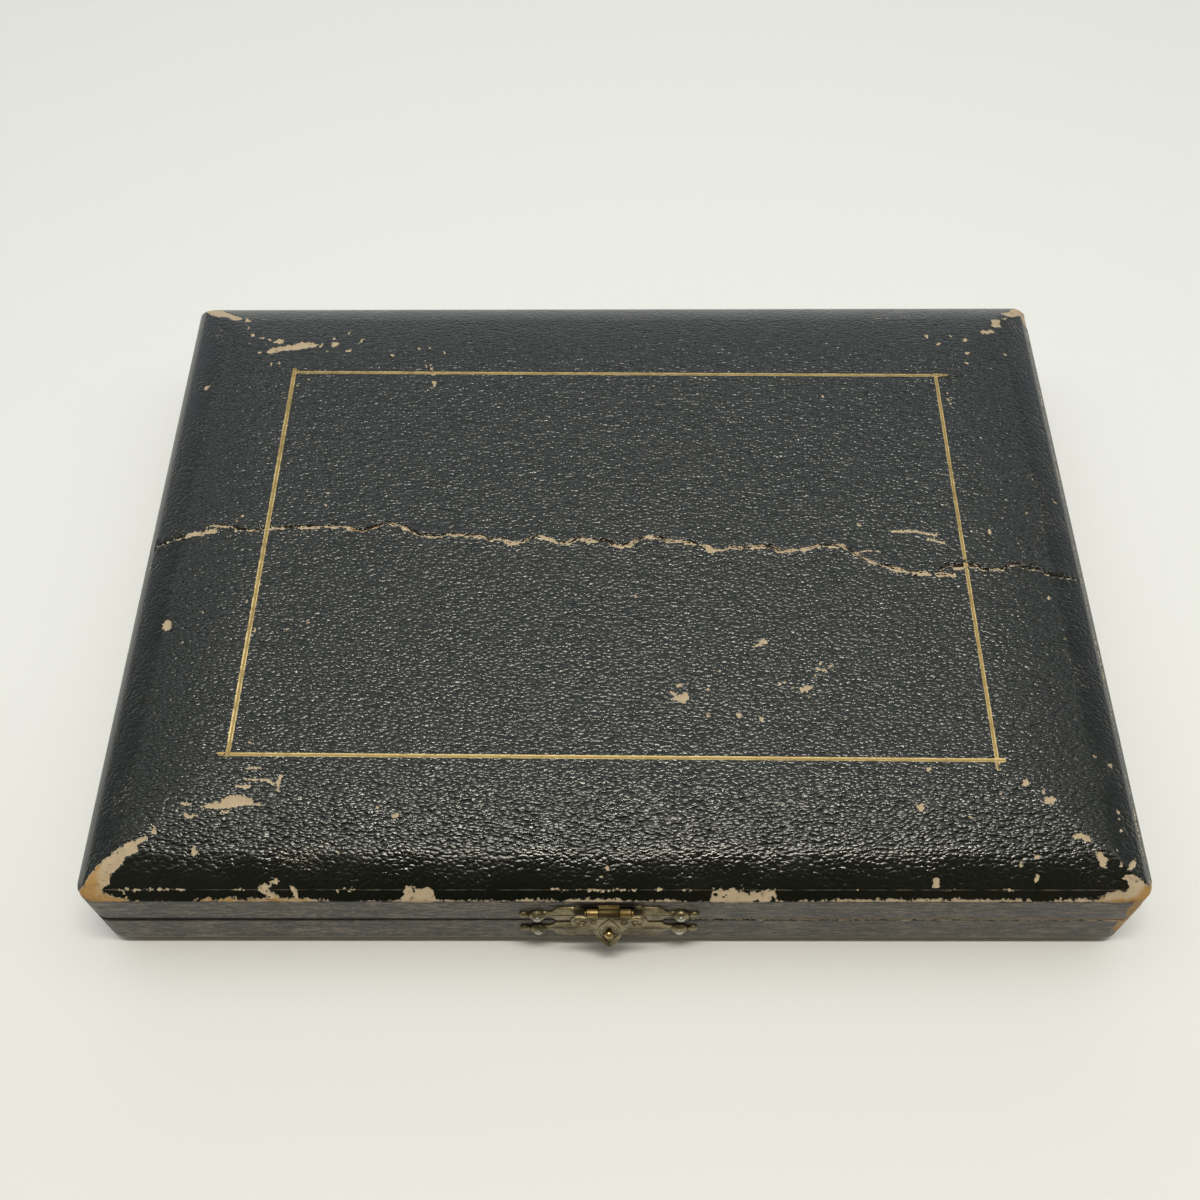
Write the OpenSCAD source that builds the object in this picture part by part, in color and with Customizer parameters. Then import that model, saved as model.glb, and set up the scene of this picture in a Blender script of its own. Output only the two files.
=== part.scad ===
// Fitted silverware chest: a shallow wooden case with a pillow-top lid, covered in
// leatherette, with a brass hasp clasp in front and two butt hinges behind.
// Millimetres. The origin is the middle of the footprint, on the table, and the front
// of the case faces -Y.

/* [Case] */
// Width of the closed case over its leatherette
case_w = 290; // [240:1:340]
// Depth of the closed case, front to back
case_d = 218; // [180:1:260]
// Height of the base's rim above the table
base_h = 18.5; // [17:0.5:26]
// Height of the lid's upright sides, from its rim to the arris
lid_side_h = 13.7; // [13.2:0.1:20]
// Open seam between base and lid
seam_gap = 0.3; // [0.2:0.05:0.5]
// Radius of the upright corners
corner_r = 5.5; // [4.8:0.1:8]
// Thickness of the leatherette
cover_t = 0.8; // [0.5:0.1:1]
// Inset of the bevel under the base
base_bevel_w = 3; // [1.5:0.1:3.4]
// Height of the bevel under the base
base_bevel_h = 3.3; // [2:0.1:4]

/* [Pillow top] */
// Width of the chamfer that follows the arris
chamfer_w = 2.4; // [1:0.1:3]
// Height of the chamfer that follows the arris
chamfer_h = 2.4; // [1:0.1:3]
// Distance from the side to the end of the steep shoulder
shoulder_w = 8; // [6.5:0.1:10]
// Rise of the steep shoulder
shoulder_h = 3.5; // [2:0.1:4.5]
// Distance from the side to the flat of the top
pillow_w = 36; // [30:0.5:44]
// Rise of the pillow from its shoulder to the flat
pillow_h = 4.1; // [3:0.1:6]

/* [Boards] */
// Thickness of the base's rails
base_wall = 7; // [6.5:0.1:9]
// Thickness of the bottom board
base_board_t = 4; // [3.5:0.1:5]
// Thickness of the lid's rails
lid_wall = 6.5; // [6.2:0.1:8.5]
// Drop of the lid board's underside below the arris
board_drop = 1.2; // [1.1:0.1:2]
// Thickness of the paper pasted under the base
paper_t = 0.4; // [0.2:0.1:0.8]
// Border that the paper leaves along the bevel
paper_border = 3; // [1:0.5:8]
// Width of leatherette turned in under the bottom board
turn_in_w = 18; // [12:1:30]

/* [Linings] */
// Thickness of the velvet-covered tray floor
floor_t = 1.2; // [0.8:0.1:2]
// Thickness of the base's standing liners
liner_t = 2; // [1.5:0.1:3]
// Height that the liners stand above the base's rim
lip_h = 3.5; // [2:0.1:5]
// Thickness of the liners inside the lid
lid_liner_t = 1.5; // [1:0.1:2.5]
// Gap between the base's liners and the lid's liners
liner_gap = 0.6; // [0.4:0.1:1]
// Thickness of the satin pad at its middle
pad_t = 5.5; // [4.5:0.1:6]
// Thickness of the satin pad at its edges
pad_edge_t = 2.5; // [1.5:0.1:4]
// Width over which the pad swells from its edges
pad_swell_w = 30; // [15:1:45]
// Gap round the pad, and between the pad and the lid board
pad_gap = 0.3; // [0.2:0.05:0.5]

/* [Racks] */
// Number of places for pieces of cutlery
place_count = 12; // [6:1:12]
// Distance from a rack's end to the middle of its last place
place_margin = 19.5; // [16:0.5:24]
// Height of both racks above the tray floor
rack_h = 14; // [12.5:0.1:14.5]
// Rounding along the racks' upper edges
rack_round = 2.5; // [1:0.1:4]
// Gap between a rack's ends and the liners
rack_end_gap = 0.2; // [0.1:0.05:0.5]
// Distance of the handle rack in front of the case's middle
handle_rack_y = 52; // [40:1:60]
// Thickness of the handle rack, front to back
handle_rack_t = 16; // [10:0.5:20]
// Width of a handle's notch
handle_notch_w = 11; // [8:0.1:13]
// Depth of a handle's notch
handle_notch_depth = 8; // [7:0.1:9]
// Distance of the blade rack behind the case's middle
blade_rack_y = 50; // [40:1:60]
// Thickness of the blade rack, front to back
blade_rack_t = 12; // [9:0.5:16]
// Width of a blade's slot
blade_slot_w = 5.5; // [4.8:0.1:7]
// Depth of a blade's slot
blade_slot_depth = 10; // [8:0.1:11]

/* [Gilt line] */
// Distance of the gilt rectangle from the sides of the case
gilt_inset = 38.6; // [37:0.1:60]
// Width of the gilt line
gilt_w = 1.1; // [0.6:0.1:2]
// Depth of the groove that the line was tooled into
gilt_groove = 0.25; // [0.15:0.05:0.4]
// Thickness of the gilding
gilt_t = 0.2; // [0.1:0.05:0.4]
// Turn of the tooled rectangle against the case, in degrees
gilt_turn = -0.5; // [-1:0.1:1]
// Shift of the tooled rectangle towards the back
gilt_shift_y = -0.7; // [-1:0.1:1]

/* [Clasp plates] */
// Place of the clasp, left or right of the case's middle
clasp_x = -1.3; // [-10:0.1:10]
// Thickness of the stamped plates
plate_t = 0.5; // [0.4:0.05:0.6]
// Width of a plate's middle panel
plate_w = 30; // [26:0.5:34]
// Height of the lid plate's middle panel
lid_plate_h = 10.6; // [9:0.1:11.5]
// Height of the catch plate's middle panel
catch_plate_h = 11.1; // [9:0.1:12]
// Distance of both plates from the rims
plate_margin = 0.4; // [0.2:0.1:1]
// Height of the arms' middle line above or below the rim
arm_up = 5.2; // [4.8:0.1:6.5]
// Width of an arm's neck
neck_h = 2.8; // [2:0.1:3.4]
// Distance of the nails from the clasp's middle
nail_x = 19.6; // [18.5:0.1:23]
// Radius of the boss round a nail
boss_r = 2.05; // [1.8:0.05:2.6]
// Rise of the boss round a nail
boss_rise = 0.5; // [0.3:0.05:0.8]
// Length of the finial beyond the boss
finial_l = 2.8; // [2:0.1:4]
// Radius of the finial's bulb
finial_r = 1.3; // [1:0.05:1.6]
// Cut of the panel's far corners
panel_cut = 0.8; // [0.4:0.1:1.5]
// Swell of the panel's ends where the necks leave them
panel_swell = 0.5; // [0.2:0.1:1]

/* [Clasp fasteners] */
// Radius of a nail's domed head
nail_head_r = 1.3; // [1.1:0.05:1.6]
// Flat ledge of a boss round its nail head
nail_ledge = 0.1; // [0.05:0.05:0.3]
// Rise of a nail's domed head
nail_head_rise = 0.8; // [0.5:0.05:1]
// Radius of a nail's shank
nail_shank_r = 0.55; // [0.4:0.05:0.7]
// Length of a nail's shank behind the plate
nail_shank_l = 6; // [4:0.5:6.5]
// Radius of the ball stud's ball
ball_r = 0.95; // [0.7:0.05:1.05]
// Distance of the ball's middle from the case's front
ball_out = 3.4; // [3:0.05:3.6]
// Distance of the ball's middle below the base's rim
ball_down = 2.1; // [1.9:0.05:2.3]
// Radius of the ball stud's shank
stud_r = 0.6; // [0.4:0.05:0.65]
// Radius of the ball stud's collar
stud_collar_r = 1.2; // [0.9:0.05:1.35]
// Thickness of the ball stud's collar
stud_collar_t = 0.4; // [0.2:0.05:0.8]
// Length of the ball stud behind the case's front
stud_tail_l = 5; // [3:0.5:6]

/* [Hasp] */
// Height of the hasp's pin above the base's rim
hasp_axis_up = 10.2; // [10:0.05:10.3]
// Distance of the hasp's pin from the case's front
hasp_axis_out = 1.8; // [1.75:0.05:2]
// Radius of the hasp's pin
hasp_pin_r = 0.5; // [0.35:0.05:0.6]
// Radius of the hasp pin's upset ends
hasp_pin_end_r = 0.75; // [0.65:0.05:0.9]
// Length of the hasp pin's upset ends
hasp_pin_end_l = 0.5; // [0.3:0.1:0.8]
// Radius of the hasp's two knuckles
hasp_knuckle_r = 1; // [0.9:0.05:1.1]
// Radius of the lid plate's knuckle
lid_knuckle_r = 1.2; // [1:0.05:1.25]
// Length of the lid plate's knuckle
lid_knuckle_l = 5.6; // [4:0.1:7]
// Length of each of the hasp's knuckles
hasp_knuckle_l = 3; // [2:0.1:4]
// Side gap between neighbouring knuckles
knuckle_gap = 0.15; // [0.1:0.05:0.3]
// Thickness of the hasp
hasp_t = 0.7; // [0.5:0.05:0.8]
// Lean of the hasp away from the case, in degrees
hasp_tilt = 4; // [3.5:0.1:5]
// Length of the hasp from its pin to its tip
hasp_l = 17.7; // [17:0.1:19]
// Half width of the hasp across its wings
wing_w = 10.3; // [9:0.1:12]
// Distance of the wings' middle line below the pin
wing_down = 4.3; // [4:0.1:4.8]
// Radius of the wings' round ends
wing_r = 2.9; // [2.4:0.1:3.1]
// Half width of the drop round the hole
drop_w = 4.3; // [3.6:0.1:5]
// Distance from the wings down to the narrow part of the drop
waist_drop = 1.2; // [0.8:0.1:1.8]
// Length over which the drop narrows to its tip
tip_l = 4.9; // [4:0.1:6]
// Length of the blunt end of the tip
tip_round = 1.2; // [0.6:0.1:1.8]
// Half width of the slot for the ball
slot_r = 1.7; // [1.5:0.05:1.9]
// Distance of the slot's upper end below the pin
slot_top = 7.5; // [7:0.1:8]
// Distance of the slot's lower end below the pin
slot_bottom = 13.8; // [13.75:0.05:14.2]
// Distance below the pin at which the tip curls outward
curl_from = 13.9; // [13:0.1:14.5]
// Angle of the curled tip against the rest of the hasp
curl_angle = 21; // [10:1:30]

/* [Hinges] */
// Distance from each end of the case to the middle of its hinge
hinge_inset = 53; // [47:1:80]
// Length of each hinge
hinge_l = 26; // [22:0.5:40]
// Radius of the hinges' barrels
hinge_r = 2.2; // [2:0.05:2.4]
// Length of each of a hinge's two base knuckles
base_knuckle_l = 8; // [5:0.5:9]
// Radius of the hinges' pins
hinge_pin_r = 0.8; // [0.6:0.05:1]
// Distance of the hinges' pins inside the case's back
hinge_set = 1.2; // [1:0.05:1.4]
// Thickness of a hinge leaf
leaf_t = 1; // [0.8:0.05:1.2]
// Reach of a hinge leaf from its pin
leaf_w = 5.4; // [5.2:0.1:5.5]
// Distance of the hinge screws from the pin
screw_back = 3.9; // [3.8:0.05:4]
// Distance of the hinge screws from the hinge's middle
screw_x = 8; // [6:0.5:10]
// Radius of a hinge screw's head
screw_head_r = 1.2; // [1:0.05:1.3]
// Radius of a hinge screw's shank
screw_shank_r = 0.7; // [0.5:0.05:0.8]
// Length of a hinge screw
screw_l = 7; // [4:0.5:8]
// Angle to which the bevelled back edges let the lid open
lid_open = 100; // [90:1:110]

/* [Hidden] */

// Clearances
running_fit = 0.05;     // radial, between a pin and the knuckles that turn on it
press_fit = 0.01;       // radial, between a pin, nail or screw and what holds it
mortise_fit = 0.05;     // round a hinge leaf let into a rail
barrel_gap = 0.3;       // round a hinge barrel
open_margin = 1.5;      // degrees left between the bevelled back edges of the open lid
past = 1;               // how far a cut runs past what it cuts
fine = 64;              // facets of the larger round things
small = 40;             // facets of the smaller round things

// Heights
base_floor_z = paper_t + cover_t;
rail_z = base_floor_z + base_board_t;
tray_z = rail_z + floor_t;
lip_z = base_h + lip_h;
rack_z = tray_z + rack_h;
lid_z = base_h + seam_gap;
arris_z = lid_z + lid_side_h;
lid_board_z = arris_z - board_drop;
top_z = arris_z + chamfer_h + shoulder_h + pillow_h;

// Half sizes of the hollow between the rails, and between the liners and their racks
base_in_x = case_w / 2 - cover_t - base_wall;
base_in_y = case_d / 2 - cover_t - base_wall;
lid_in_x = case_w / 2 - cover_t - lid_wall;
lid_in_y = case_d / 2 - cover_t - lid_wall;
tray_in_x = base_in_x - liner_t;
rack_x = tray_in_x - rack_end_gap;
place_pitch = 2 * (rack_x - place_margin) / (place_count - 1);
pad_x = lid_in_x - lid_liner_t - pad_gap;
pad_y = lid_in_y - lid_liner_t - pad_gap;

// Hinge line, shared by both hinges
hinge_x = case_w / 2 - hinge_inset;
hinge_y = case_d / 2 - hinge_set;
hinge_z = base_h + seam_gap / 2;
bevel_angle = (lid_open + open_margin) / 2;
lid_knuckle_span = hinge_l - 2 * base_knuckle_l;

// Half length of the hasp's pin between its upset ends
hasp_pin_x = lid_knuckle_l / 2 + 2 * knuckle_gap + hasp_knuckle_l;

// Colours
leatherette = "#15181a";
wood = "#b5895a";
velvet = "#3b1726";
satin = "#e7dcc2";
brass = "#8d7f52";
gilt = "#b1924a";
paper = "#6d5a45";

// ---- Shapes that several pieces share ----

// Points of an arc that starts at p with slope a1 and ends dx further on with slope a2
function arc_points(p, dx, a1, a2, n) =
    let (r = dx / (sin(a1) - sin(a2)))
    [for (k = [0:n])
        let (a = a1 + (a2 - a1) * k / n)
        [p[0] + r * (sin(a1) - sin(a)), p[1] + r * (cos(a) - cos(a1))]];

// Section of the pillow as [distance from the side, height] points
function pillow_line(drop) =
    let (
        a2 = 2 * atan(pillow_h / (pillow_w - shoulder_w)),
        a1 = 2 * atan(shoulder_h / (shoulder_w - chamfer_w)) - a2,
        foot = [chamfer_w, arris_z + chamfer_h - drop],
        knee = [shoulder_w, foot[1] + shoulder_h]
    )
    concat(
        arc_points(foot, shoulder_w - chamfer_w, a1, a2, 6),
        [for (p = arc_points(knee, pillow_w - shoulder_w, a2, 0, 9)) if (p[0] > shoulder_w) p]
    );

// An edge line of [inset, height] points, mirrored into a closed section of full width w
function whole_section(w, edge) =
    concat(
        [for (p = edge) [w / 2 - p[0], p[1]]],
        [for (k = [len(edge) - 1:-1:0]) [edge[k][0] - w / 2, edge[k][1]]]
    );

// Extrudes a section that is drawn as (y, z) along X, or as (x, z) along Y
module along_x(l) {
    rotate([90, 0, 90]) translate([0, 0, -l / 2]) linear_extrude(l) children();
}
module along_y(l) {
    rotate([90, 0, 0]) translate([0, 0, -l / 2]) linear_extrude(l) children();
}

// A block with rounded upright corners whose sides follow one edge line all round
module moulded_block(w, d, r, edge) {
    flat_x = w - 2 * r;
    flat_y = d - 2 * r;
    corner = concat(
        [[0, edge[0][1]]],
        [for (p = edge) [r - p[0], p[1]]],
        [[0, edge[len(edge) - 1][1]]]
    );
    along_x(flat_x) polygon(whole_section(d, edge));
    along_y(flat_y) polygon(whole_section(w, edge));
    for (sx = [-1, 1], sy = [-1, 1])
        translate([sx * flat_x / 2, sy * flat_y / 2, 0])
            rotate_extrude($fn = fine) polygon(corner);
}

// The lid as a solid, drawn in by t on every side and running down to height from_z
module lid_form(t, from_z) {
    w = case_w - 2 * t;
    d = case_d - 2 * t;
    line = pillow_line(t);
    foot_z = line[0][1];
    cap = concat([[-past, from_z - past], [-past, foot_z]], line);
    intersection() {
        moulded_block(w, d, corner_r - t, [
            [0, from_z], [0, arris_z - t], [chamfer_w, foot_z], [chamfer_w, top_z + past]
        ]);
        along_x(w + past) polygon(whole_section(d, cap));
        along_y(d + past) polygon(whole_section(w, cap));
    }
}

// The base as a solid, drawn in by t on every side
module base_form(t, to_z) {
    z = paper_t + t;
    moulded_block(case_w - 2 * t, case_d - 2 * t, corner_r - t, [
        [base_bevel_w, z], [0, z + base_bevel_h], [0, to_z]
    ]);
}

// A box between two corners
module box(low, high) {
    translate(low) cube(high - low);
}

// The bevel that lets the lid swing over: side is -1 for the base and 1 for the lid
module back_bevel(side) {
    reach = hinge_set + past;
    along = case_w + 2 * past;
    translate([0, hinge_y, hinge_z])
        along_x(along)
            polygon([[0, 0], [reach, 0], [reach, side * reach * tan(bevel_angle)]]);
}

// Places something at both hinges
module at_hinges() {
    for (sx = [-1, 1])
        translate([sx * hinge_x, hinge_y, hinge_z]) children();
}

// A round bar along X
module bar_x(r, l) {
    rotate([0, 90, 0]) cylinder(r = r, h = l, center = true, $fn = small);
}

// Room in a rim for a hinge barrel, its leaf and its screws: side as in back_bevel
module hinge_room(side) {
    at_hinges() {
        bar_x(hinge_r + barrel_gap, hinge_l + 2 * barrel_gap);
        leaf_blank(side, mortise_fit);
        leaf_screws(side, press_fit);
    }
}

// A hinge leaf without its knuckles, grown by fit
module leaf_blank(side, fit) {
    near = seam_gap / 2;
    far = near + leaf_t + fit;
    low = side > 0 ? near : -far;
    high = side > 0 ? far : -near;
    box([-hinge_l / 2 - fit, -leaf_w - fit, low], [hinge_l / 2 + fit, 0, high]);
}

// The two countersunk screws of a leaf, grown by fit
module leaf_screws(side, fit) {
    near = seam_gap / 2;
    taper = screw_head_r - screw_shank_r;
    for (sx = [-1, 1])
        translate([sx * screw_x, -screw_back, side * near])
            mirror([0, 0, side > 0 ? 0 : 1]) {
                cylinder(r1 = screw_head_r + fit, r2 = screw_shank_r + fit, h = taper, $fn = small);
                cylinder(r = screw_shank_r + fit, h = screw_l, $fn = small);
            }
}

// A whole leaf: knuckles are [from, to] stretches along the pin
module hinge_leaf(side, knuckles, others) {
    difference() {
        union() {
            leaf_blank(side, 0);
            for (k = knuckles)
                translate([(k[0] + k[1]) / 2, 0, 0]) bar_x(hinge_r, k[1] - k[0]);
        }
        for (k = others)
            translate([(k[0] + k[1]) / 2, 0, 0]) bar_x(hinge_r + barrel_gap, k[1] - k[0]);
        bar_x(hinge_pin_r + (side > 0 ? running_fit : press_fit), hinge_l + past);
        leaf_screws(side, press_fit);
    }
}

outer_knuckles = [
    for (s = [-1, 1])
        let (a = s * lid_knuckle_span / 2, b = s * hinge_l / 2)
        [min(a, b), max(a, b)]
];
middle_knuckle = [[-lid_knuckle_span / 2 + knuckle_gap, lid_knuckle_span / 2 - knuckle_gap]];
middle_stretch = [[-lid_knuckle_span / 2, lid_knuckle_span / 2]];
outer_stretches = [
    for (k = outer_knuckles)
        k[0] < 0 ? [k[0] - past, k[1] + knuckle_gap] : [k[0] - knuckle_gap, k[1] + past]
];

// The clasp's own frame: x to the right, y up from the base's rim, z out of the front
module on_front() {
    translate([clasp_x, -case_d / 2, base_h]) rotate([90, 0, 0]) children();
}

// Outline of a clasp plate whose panel lies between the heights near and far from the rim
module plate_outline(near, far) {
    end = plate_w / 2;
    neck_low = arm_up - neck_h / 2;
    neck_high = arm_up + neck_h / 2;
    polygon([
        [-end, near], [end, near], [end, neck_low], [end + panel_swell, neck_high],
        [end - panel_cut, far], [panel_cut - end, far], [-end - panel_swell, neck_high],
        [-end, neck_low]
    ]);
    square_x(nail_x, arm_up, neck_h);
    for (sx = [-1, 1]) {
        translate([sx * nail_x, arm_up]) circle(boss_r, $fn = small);
        translate([sx * (nail_x + boss_r), arm_up])
            square([finial_l, finial_r], center = true);
        translate([sx * (nail_x + boss_r + finial_l - finial_r), arm_up])
            circle(finial_r, $fn = small);
    }
}

// A bar of height h from -x to x round the height y
module square_x(x, y, h) {
    translate([0, y]) square([2 * x, h], center = true);
}

// A clasp plate with its raised bosses and nail holes
module clasp_plate(near, far) {
    difference() {
        union() {
            linear_extrude(plate_t) plate_outline(near, far);
            for (sx = [-1, 1])
                translate([sx * nail_x, arm_up, plate_t])
                    cylinder(r1 = boss_r, r2 = nail_head_r + nail_ledge, h = boss_rise, $fn = small);
        }
        plate_nails(press_fit);
    }
}

// Both nails of a plate, grown by fit
module plate_nails(fit) {
    seat = plate_t + boss_rise;
    for (sx = [-1, 1])
        translate([sx * nail_x, arm_up, 0]) {
            translate([0, 0, -nail_shank_l])
                cylinder(r = nail_shank_r + fit, h = nail_shank_l + seat + fit, $fn = small);
            translate([0, 0, seat]) dome(nail_head_r, nail_head_rise);
        }
}

// A domed head of radius r and height h
module dome(r, h) {
    ball = (r * r + h * h) / (2 * h);
    intersection() {
        translate([0, 0, h - ball]) sphere(ball, $fn = small);
        cylinder(r = r + past, h = h + past, $fn = small);
    }
}

// The ball stud, grown by fit where it is riveted through the plate
module ball_stud(fit) {
    translate([0, -ball_down, 0]) {
        translate([0, 0, -stud_tail_l])
            cylinder(r = stud_r + fit, h = stud_tail_l + ball_out, $fn = small);
        translate([0, 0, plate_t]) cylinder(r = stud_collar_r, h = stud_collar_t, $fn = small);
        translate([0, 0, ball_out]) sphere(ball_r, $fn = small);
    }
}

// Everything that is driven into the front of the base or the lid
module front_holes(side) {
    on_front() {
        if (side < 0) {
            mirror([0, 1, 0]) plate_nails(press_fit);
            ball_stud(press_fit);
        } else {
            plate_nails(press_fit);
        }
    }
}

// ---- Base ----

module base_board() {
    color(wood) intersection() {
        base_form(cover_t, base_h);
        box([-case_w, -case_d, 0], [case_w, case_d, rail_z]);
    }
}

// The four rails of the base as one ring
module base_rails() {
    difference() {
        intersection() {
            base_form(cover_t, base_h);
            box([-case_w, -case_d, rail_z], [case_w, case_d, base_h]);
        }
        box([-base_in_x, -base_in_y, 0], [base_in_x, base_in_y, base_h + past]);
        back_bevel(-1);
        hinge_room(-1);
        front_holes(-1);
    }
}

// The part of a ring of rails that stands in front of or behind the hollow
module end_rail(sy, in_y) {
    intersection() {
        children();
        box(
            [-case_w, sy < 0 ? -case_d : in_y, 0],
            [case_w, sy < 0 ? -in_y : case_d, top_z]
        );
    }
}

// The part of a ring of rails that stands beside the hollow
module side_rail(sx, in_x, in_y) {
    intersection() {
        children();
        box(
            [sx < 0 ? -case_w : in_x, -in_y, 0],
            [sx < 0 ? -in_x : case_w, in_y, top_z]
        );
    }
}

module base_front_rail() { color(wood) end_rail(-1, base_in_y) base_rails(); }
module base_back_rail() { color(wood) end_rail(1, base_in_y) base_rails(); }
module base_left_rail() { color(wood) side_rail(-1, base_in_x, base_in_y) base_rails(); }
module base_right_rail() { color(wood) side_rail(1, base_in_x, base_in_y) base_rails(); }

module base_cover() {
    turn_x = case_w / 2 - turn_in_w;
    turn_y = case_d / 2 - turn_in_w;
    color(leatherette) difference() {
        base_form(0, base_h);
        base_form(cover_t, base_h + past);
        box([-turn_x, -turn_y, -past], [turn_x, turn_y, base_h]);
        back_bevel(-1);
        hinge_room(-1);
        front_holes(-1);
    }
}

module base_paper() {
    x = case_w / 2 - base_bevel_w - paper_border;
    y = case_d / 2 - base_bevel_w - paper_border;
    color(paper) box([-x, -y, 0], [x, y, paper_t]);
}

module tray_floor() {
    color(velvet) box([-base_in_x, -base_in_y, rail_z], [base_in_x, base_in_y, tray_z]);
}

// A liner in front of or behind the tray, from the floor to above the rim
module base_end_liner(sy) {
    y = base_in_y - liner_t / 2;
    color(velvet) translate([0, sy * y, (tray_z + lip_z) / 2])
        cube([2 * base_in_x, liner_t, lip_z - tray_z], center = true);
}

// A liner beside the tray
module base_side_liner(sx) {
    x = base_in_x - liner_t / 2;
    color(velvet) translate([sx * x, 0, (tray_z + lip_z) / 2])
        cube([liner_t, 2 * (base_in_y - liner_t), lip_z - tray_z], center = true);
}

module base_front_liner() { base_end_liner(-1); }
module base_back_liner() { base_end_liner(1); }
module base_left_liner() { base_side_liner(-1); }
module base_right_liner() { base_side_liner(1); }

// A bar across the tray with a row of round-bottomed notches in its upper edge
module rack(y, thick, notch_w, notch_depth) {
    r = rack_round;
    bottom = rack_z - notch_depth + notch_w / 2;
    color(velvet) difference() {
        along_x(2 * rack_x) translate([y, 0]) {
            translate([-thick / 2, tray_z]) square([thick, rack_h - r]);
            translate([-thick / 2 + r, tray_z]) square([thick - 2 * r, rack_h]);
            for (s = [-1, 1])
                translate([s * (thick / 2 - r), rack_z - r]) circle(r, $fn = small);
        }
        for (k = [0:place_count - 1])
            translate([(k - (place_count - 1) / 2) * place_pitch, y, bottom]) {
                rotate([90, 0, 0])
                    cylinder(d = notch_w, h = thick + past, center = true, $fn = small);
                translate([-notch_w / 2, -thick / 2 - past, 0])
                    cube([notch_w, thick + 2 * past, notch_depth]);
            }
    }
}

module handle_rack() { rack(-handle_rack_y, handle_rack_t, handle_notch_w, handle_notch_depth); }
module blade_rack() { rack(blade_rack_y, blade_rack_t, blade_slot_w, blade_slot_depth); }

module catch_plate() {
    near = plate_margin;
    color(brass) on_front() difference() {
        mirror([0, 1, 0]) clasp_plate(near, near + catch_plate_h);
        ball_stud(press_fit);
    }
}

module catch_stud() { color(brass) on_front() ball_stud(0); }
module catch_plate_nails() { color(brass) on_front() mirror([0, 1, 0]) plate_nails(0); }

module left_hinge_base_leaf() {
    color(brass) translate([-hinge_x, hinge_y, hinge_z])
        hinge_leaf(-1, outer_knuckles, middle_stretch);
}
module right_hinge_base_leaf() {
    color(brass) translate([hinge_x, hinge_y, hinge_z])
        hinge_leaf(-1, outer_knuckles, middle_stretch);
}

module left_hinge_pin() {
    color(brass) translate([-hinge_x, hinge_y, hinge_z]) bar_x(hinge_pin_r, hinge_l);
}
module right_hinge_pin() {
    color(brass) translate([hinge_x, hinge_y, hinge_z]) bar_x(hinge_pin_r, hinge_l);
}

module base_hinge_screws() { color(brass) at_hinges() leaf_screws(-1, 0); }

// ---- Lid ----

module lid_board() {
    color(wood) intersection() {
        lid_form(cover_t, lid_z);
        box([-case_w, -case_d, lid_board_z], [case_w, case_d, top_z]);
    }
}

// The four rails of the lid as one ring
module lid_rails() {
    difference() {
        intersection() {
            lid_form(cover_t, lid_z);
            box([-case_w, -case_d, lid_z], [case_w, case_d, lid_board_z]);
        }
        box([-lid_in_x, -lid_in_y, 0], [lid_in_x, lid_in_y, top_z]);
        back_bevel(1);
        hinge_room(1);
        front_holes(1);
    }
}

module lid_front_rail() { color(wood) end_rail(-1, lid_in_y) lid_rails(); }
module lid_back_rail() { color(wood) end_rail(1, lid_in_y) lid_rails(); }
module lid_left_rail() { color(wood) side_rail(-1, lid_in_x, lid_in_y) lid_rails(); }
module lid_right_rail() { color(wood) side_rail(1, lid_in_x, lid_in_y) lid_rails(); }

module lid_cover() {
    color(leatherette) difference() {
        lid_form(0, lid_z);
        lid_form(cover_t, lid_z - past);
        gilt_frame(top_z - gilt_groove, gilt_groove + past);
        back_bevel(1);
        hinge_room(1);
        front_holes(1);
    }
}

// The tooled rectangle, as a frame that starts at height z and is h thick
module gilt_frame(z, h) {
    x = case_w - 2 * gilt_inset;
    y = case_d - 2 * gilt_inset;
    translate([0, gilt_shift_y, z]) rotate([0, 0, gilt_turn]) linear_extrude(h) difference() {
        square([x + gilt_w, y + gilt_w], center = true);
        square([x - gilt_w, y - gilt_w], center = true);
    }
}

module gilt_line() { color(gilt) gilt_frame(top_z - gilt_groove, gilt_t); }

// A liner inside the lid, in front or behind
module lid_end_liner(sy) {
    low = lip_z + liner_gap;
    y = lid_in_y - lid_liner_t / 2;
    color(satin) translate([0, sy * y, (low + lid_board_z) / 2])
        cube([2 * lid_in_x, lid_liner_t, lid_board_z - low], center = true);
}

// A liner inside the lid, left or right
module lid_side_liner(sx) {
    low = lip_z + liner_gap;
    x = lid_in_x - lid_liner_t / 2;
    color(satin) translate([sx * x, 0, (low + lid_board_z) / 2])
        cube([lid_liner_t, 2 * (lid_in_y - lid_liner_t), lid_board_z - low], center = true);
}

module lid_front_liner() { lid_end_liner(-1); }
module lid_back_liner() { lid_end_liner(1); }
module lid_left_liner() { lid_side_liner(-1); }
module lid_right_liner() { lid_side_liner(1); }

// The pad hangs under the board and swells downward from its edges
module lid_pad() {
    high = lid_board_z - pad_gap;
    swell = pad_t - pad_edge_t;
    a = 2 * atan(swell / pad_swell_w);
    edge = concat(
        [[0, high]],
        [for (p = arc_points([0, 0], pad_swell_w, a, 0, 7)) [p[0], high - pad_edge_t - p[1]]]
    );
    color(satin) intersection() {
        along_x(2 * pad_x) polygon(whole_section(2 * pad_y, edge));
        along_y(2 * pad_y) polygon(whole_section(2 * pad_x, edge));
    }
}

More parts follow.
